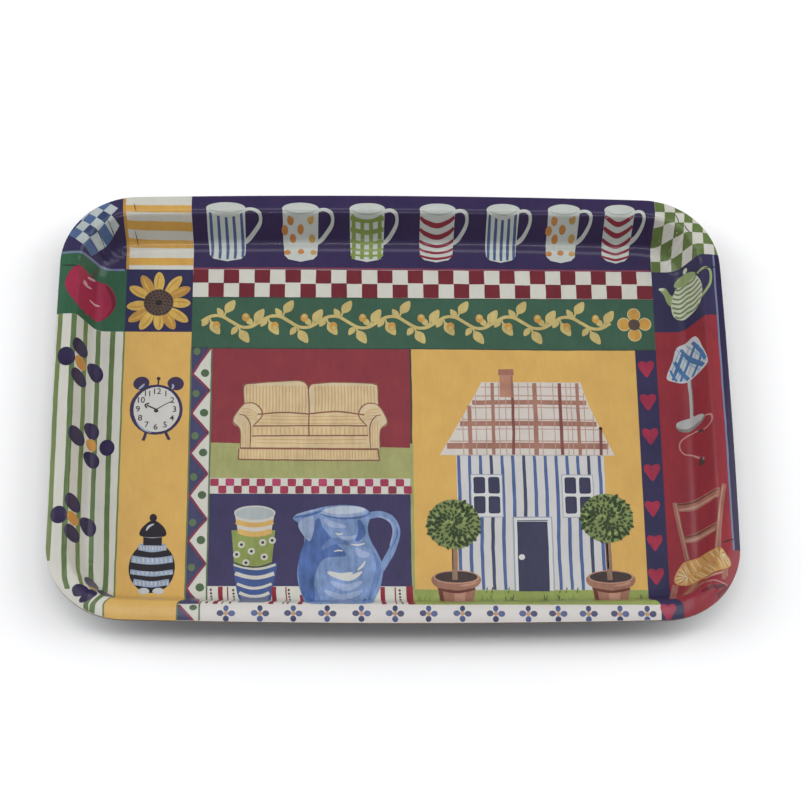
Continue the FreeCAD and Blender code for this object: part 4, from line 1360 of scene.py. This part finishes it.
# ---------------------------------------------------------------- chair
# A ladder-back chair with a rush seat stands below the lamp, half of it on
# the near right corner.
chair_paints = palette(
    wood=(0.285, 0.112, 0.085, 0.5), wood_light=(0.361, 0.218, 0.157, 0.3),
    wood_dark=(0.105, 0.035, 0.026, 0.3), rush_gold=(0.430, 0.235, 0.080, 0.35),
    rush_pale=(0.518, 0.405, 0.231, 0.3), rush_brown=(0.283, 0.161, 0.057, 0.3),
)
art = bmesh.new()
for points, width in (
    (((207.6, -117), (207.2, -124)), 2.6), (((191.6, -120), (188.0, -127), (184.2, -132.6)), 3.2),
    (((180.2, -118), (178.0, -128), (176.0, -136)), 4.0), (((209.6, -114), (208.6, -122)), 2.6),
):
    stroke(art, points, width, 0, 1)
stroke(art, ((196, -121.6), (201, -120.4), (207, -119)), 1.6, 1, 2, 0.3)
stroke(art, ((186, -127), (193, -125), (200, -125.4)), 1.6, 0, 1, 0.3)
for low, high, left, right in ((-68.2, -60.8, 183.8, 208.2), (-90.2, -83.6, 187.0, 206.0)):
    fill(art, [(left, low + 1.4), (right, low + 1.0), (right + 0.6, high), ((left + right) / 2, high + 1.2),
               (left - 0.8, high - 0.6)], 0, 1)
    stroke(art, ((left + 1.4, low + 2.6), ((left + right) / 2, low + 3.4), (right - 1.4, low + 2.4)),
           1.9, 1, 2, 0.4)
    stroke(art, ((left + 1.0, high - 1.2), ((left + right) / 2, high - 0.4), (right - 0.8, high - 1.2)),
           1.2, 2, 2, 0.4)
stroke(art, ((182.8, -60.4), (185.6, -80), (189.0, -101)), 3.1, 0, 3)
stroke(art, ((183.4, -61), (186.2, -80), (189.4, -100)), 1.0, 1, 4, 0.3)
stroke(art, ((211.4, -58.4), (207.6, -80), (205.0, -102.4)), 3.1, 0, 3)
stroke(art, ((210.6, -60), (206.9, -80), (204.6, -101)), 1.0, 1, 4, 0.3)
seat = [(188.4, -101.4), (204.4, -100.6), (210, -107.6), (212.4, -112.4), (211.0, -115.8), (201, -118.8),
        (193, -120.2), (181, -117.6), (180.0, -112.2), (183.4, -106)]
fill(art, rounded(seat, 3), 3, 4)
SEAT_MIDDLE = Vector((197.0, -109.6))
SEAT_RIDGE = Vector((8.5, 3.0))                   # the rush is woven in to a ridge along the middle
STRANDS = 52
for number in range(STRANDS):
    spot = through(seat + seat[:1], number / STRANDS)
    reach = (spot - SEAT_MIDDLE).dot(SEAT_RIDGE) / SEAT_RIDGE.length_squared
    inward = SEAT_MIDDLE + SEAT_RIDGE * max(-1.0, min(reach, 1.0)) - spot
    stroke(art, (spot + inward * 0.06, spot + inward * 0.5, spot + inward * 0.94), 0.6,
           4 + (number % 3 == 0), 5, 0.5)
press("chair", art, chair_paints)

# ---------------------------------------------------------------- dividing lines
# A pale blue hairline edges the purple rim down the right side, and thin
# brushed lines part the fields of the middle.
art = bmesh.new()
stroke(art, ((214.9, 109), (215.1, 40), (215.2, -30), (214.8, -104)), 1.2, 0)
press("rim_line", art, [line_blue])

soft_green = paint("soft_green", (0.255, 0.290, 0.110), 0.35)
dark_line = paint("dark_line", (0.030, 0.045, 0.035), 0.3)
art = bmesh.new()
stroke(art, ((12.7, 49.8), (12.9, 10), (12.6, -19)), 1.1, 1)
stroke(art, ((12.8, -19), (12.6, -80), (12.9, -140.8)), 2.0, 0)
stroke(art, ((13.6, -121.2), (60, -121.6), (162, -121.4)), 0.6, 0)
stroke(art, ((-132.4, 50.2), (-60, 50.0), (20, 50.2), (100, 49.8), (176.2, 50.0)), 0.7, 1)
stroke(art, ((-132.4, 88.0), (-40, 88.2), (60, 87.8), (176.2, 88.0)), 0.6, 1)
press("dividing_lines", art, [soft_green, dark_line])

# ---------------------------------------------------------------- painted crease shading
# Drawing the paper in at the corners left it creased, folding into itself, across
# the lip and down the bends. The shade in those creases is painted: fine dark
# strokes, and on the near right corner a dark red painted shadow beside a pink
# painted highlight.
# painted shade: the dark strokes stand for the shadow inside each crease
crease = paint("crease_shadow", (0.020, 0.018, 0.024), 0.2)
art = bmesh.new()
for points, width in (
    (((-218.4, 98.4), (-213, 98.0), (-206.5, 97.4)), 0.8),
    (((208.0, 98.6), (213, 99.2), (218.4, 100.4)), 0.9),
    (((207.6, -99.2), (212, -97.6), (218.2, -96.2)), 0.7),
    (((-170.6, 145.4), (-170.0, 142.0), (-169.2, 138.8)), 0.5),
    (((-171.2, 131.6), (-170.2, 128.6), (-169.6, 125.2)), 0.5),
    (((196.6, 131.6), (198.2, 127.6), (201.4, 124.4)), 0.6),
    (((189.4, 140.0), (191.8, 135.6), (193.0, 131.4)), 0.5),
    (((-197.6, 127.0), (-193.4, 123.0), (-190.8, 118.6)), 0.5),
    (((-189.6, 134.0), (-186.4, 129.4), (-184.6, 124.6)), 0.5),
    (((203.4, -130.6), (206.2, -128.2), (209.0, -127.6)), 1.0),
):
    stroke(art, points, width, 0, 6, 0.9)
# painted shadow in dark red and a painted highlight in pink on the near right corner's folds
for points, width, ink in (
    (((194, -132.4), (201, -128.6), (209, -129.0)), 2.6, 1),
    (((203, -136), (207.6, -131.6), (212.6, -127.4)), 1.9, 1),
    (((198, -124.4), (204, -125.2), (210.4, -128.0)), 1.0, 2),
):
    stroke(art, points, width, ink, 5, 0.8)
# inks: painted crease shade, painted fold shadow, painted fold highlight
press("corner_crease_shading", art, [crease, paint("fold_shadow_red", (0.115, 0.012, 0.020), 0.4),
                              paint("fold_highlight_pink", (0.400, 0.180, 0.170), 0.3)])

# ---------------------------------------------------------------- core papers
# Five plain brown papers give the board its stiffness. They show only as fine
# lines round the cut edge, between the print and the backing.
def layered_paper(name, colour, roughness, coat, fleck):
    """Plain paper flecked with fibres and clouded a little paler and darker."""
    material = bpy.data.materials.new(name)
    material.use_nodes = True
    nodes, links = material.node_tree.nodes, material.node_tree.links
    shader = nodes["Principled BSDF"]
    shader.inputs["Coat Weight"].default_value = coat
    shader.inputs["Coat Roughness"].default_value = 0.3
    place = nodes.new("ShaderNodeTexCoord")
    fibres = shader_node(nodes, "TexNoise", Scale=900.0, Detail=5.0)
    clouds = shader_node(nodes, "TexNoise", Scale=30.0)
    links.new(place.outputs["Object"], fibres.inputs["Vector"])
    links.new(place.outputs["Object"], clouds.inputs["Vector"])
    blend = plain_math(nodes, "MULTIPLY", {})
    links.new(fibres.outputs["Fac"], blend.inputs[0])
    links.new(clouds.outputs["Fac"], blend.inputs[1])
    tone = nodes.new("ShaderNodeValToRGB")
    tone.color_ramp.elements[0].position = 0.12
    tone.color_ramp.elements[0].color = (*[c * (1.0 - fleck) for c in colour], 1.0)
    tone.color_ramp.elements[1].position = 0.42
    tone.color_ramp.elements[1].color = (*[min(1.0, c * (1.0 + fleck)) for c in colour], 1.0)
    links.new(blend.outputs["Value"], tone.inputs["Fac"])
    links.new(tone.outputs["Color"], shader.inputs["Base Color"])
    rough = shader_node(nodes, "MapRange", To_Min=roughness - 0.08, To_Max=roughness + 0.08)
    links.new(clouds.outputs["Fac"], rough.inputs["Value"])
    links.new(rough.outputs["Result"], shader.inputs["Roughness"])
    bump = shader_node(nodes, "Bump", Strength=0.3, Distance=GRAIN_DEPTH)
    links.new(fibres.outputs["Fac"], bump.inputs["Height"])
    links.new(bump.outputs["Normal"], shader.inputs["Normal"])
    return material


core_paper = layered_paper("core_paper", (0.20, 0.115, 0.06), 0.7, 0.0, 0.3)
for number in range(1, 6):
    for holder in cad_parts["core_sheet_%d" % number].material_slots:
        holder.material = core_paper

# ---------------------------------------------------------------- backing sheet
# The underside is a dark sealed paper, smooth and slightly satin, that wears
# a little paler in clouds where it rests and is wiped.
back_paper = layered_paper("back_paper", (0.030, 0.028, 0.030), 0.48, 0.2, 0.35)
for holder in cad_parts["backing_sheet"].material_slots:
    holder.material = back_paper

# ---------------------------------------------------------------- studio
# A plain pale floor, a soft light at each side and one overhead, a dim even
# sky, and one long narrow lamp in front that draws the far wall's fine lines.
FLOOR_SIZE = 12.0
FLOOR_GAP = 0.2 * MM
floor_mesh = bpy.data.meshes.new("studio_floor")
bm = bmesh.new()
bmesh.ops.create_grid(bm, x_segments=1, y_segments=1, size=FLOOR_SIZE / 2,
                      matrix=Matrix.Translation((0, 0, CAD_LOW[2] - FLOOR_GAP)))
bm.to_mesh(floor_mesh)
bm.free()
studio_floor = bpy.data.objects.new("studio_floor", floor_mesh)
bpy.context.collection.objects.link(studio_floor)
pale = bpy.data.materials.new("pale_floor")
pale.use_nodes = True
pale_shader = pale.node_tree.nodes["Principled BSDF"]
pale_shader.inputs["Base Color"].default_value = (0.93, 0.93, 0.935, 1.0)
pale_shader.inputs["Roughness"].default_value = 0.85
floor_mesh.materials.append(pale)

SIDE_POWER = 27.0
TOP_POWER = 13.0
STRIP_POWER = 16.0
SOFTBOX_OUT = 1.7


def soft_light(name, place, aim, size_x, size_y, power):
    """A rectangular lamp, in metres and watts, turned to face its aim."""
    lamp = bpy.data.lights.new(name, "AREA")
    lamp.shape = "RECTANGLE"
    lamp.size = size_x
    lamp.size_y = size_y
    lamp.energy = power
    holder = bpy.data.objects.new(name, lamp)
    holder.matrix_world = (Matrix.Translation(place)
                           @ (Vector(aim) - Vector(place)).to_track_quat("-Z", "Y").to_matrix().to_4x4())
    bpy.context.collection.objects.link(holder)
    return holder


for name, side in (("left_softbox", -1), ("right_softbox", 1)):
    soft_light(name, (side * SOFTBOX_OUT, 0.28, 1.2), (0, 0, 0), 1.3, 2.1, SIDE_POWER)
soft_light("top_softbox", (0.0, 0.10, 2.1), (0, 0, 0), 1.5, 0.7, TOP_POWER)
strip = soft_light("front_strip", (0.0, -1.55, 1.25), (0, 0.1, 0), 2.4, 0.016, STRIP_POWER)
strip.visible_diffuse = False                     # it is only seen as a glint and casts no shadow
sky = bpy.data.worlds.new("sky")
sky.use_nodes = True
sky_light = sky.node_tree.nodes["Background"]
sky_light.inputs["Color"].default_value = (0.97, 0.98, 1.0, 1.0)
sky_light.inputs["Strength"].default_value = 0.30
bpy.context.scene.world = sky
bpy.context.scene.view_settings.view_transform = "Standard"

# ---------------------------------------------------------------- camera
# Looks down on the near long side, from a little to the left, slightly rolled.
AZIMUTH = math.radians(-4.407)
ELEVATION = math.radians(64.42)
ROLL = math.radians(4.21)
DISTANCE = 1.7099
AIM = Vector((0.00655, 0.01222, 0.0))
eye = bpy.data.cameras.new("camera")
eye.sensor_width = 36.0
eye.lens = 116.37
camera = bpy.data.objects.new("camera", eye)
backwards = Vector((math.sin(AZIMUTH) * math.cos(ELEVATION), -math.cos(AZIMUTH) * math.cos(ELEVATION),
                    math.sin(ELEVATION)))
turn = (-backwards).to_track_quat("-Z", "Y").to_matrix().to_4x4() @ Matrix.Rotation(ROLL, 4, "Z")
camera.matrix_world = Matrix.Translation(AIM + backwards * DISTANCE) @ turn
bpy.context.collection.objects.link(camera)
bpy.context.scene.camera = camera

WHOLE_FACE.free()
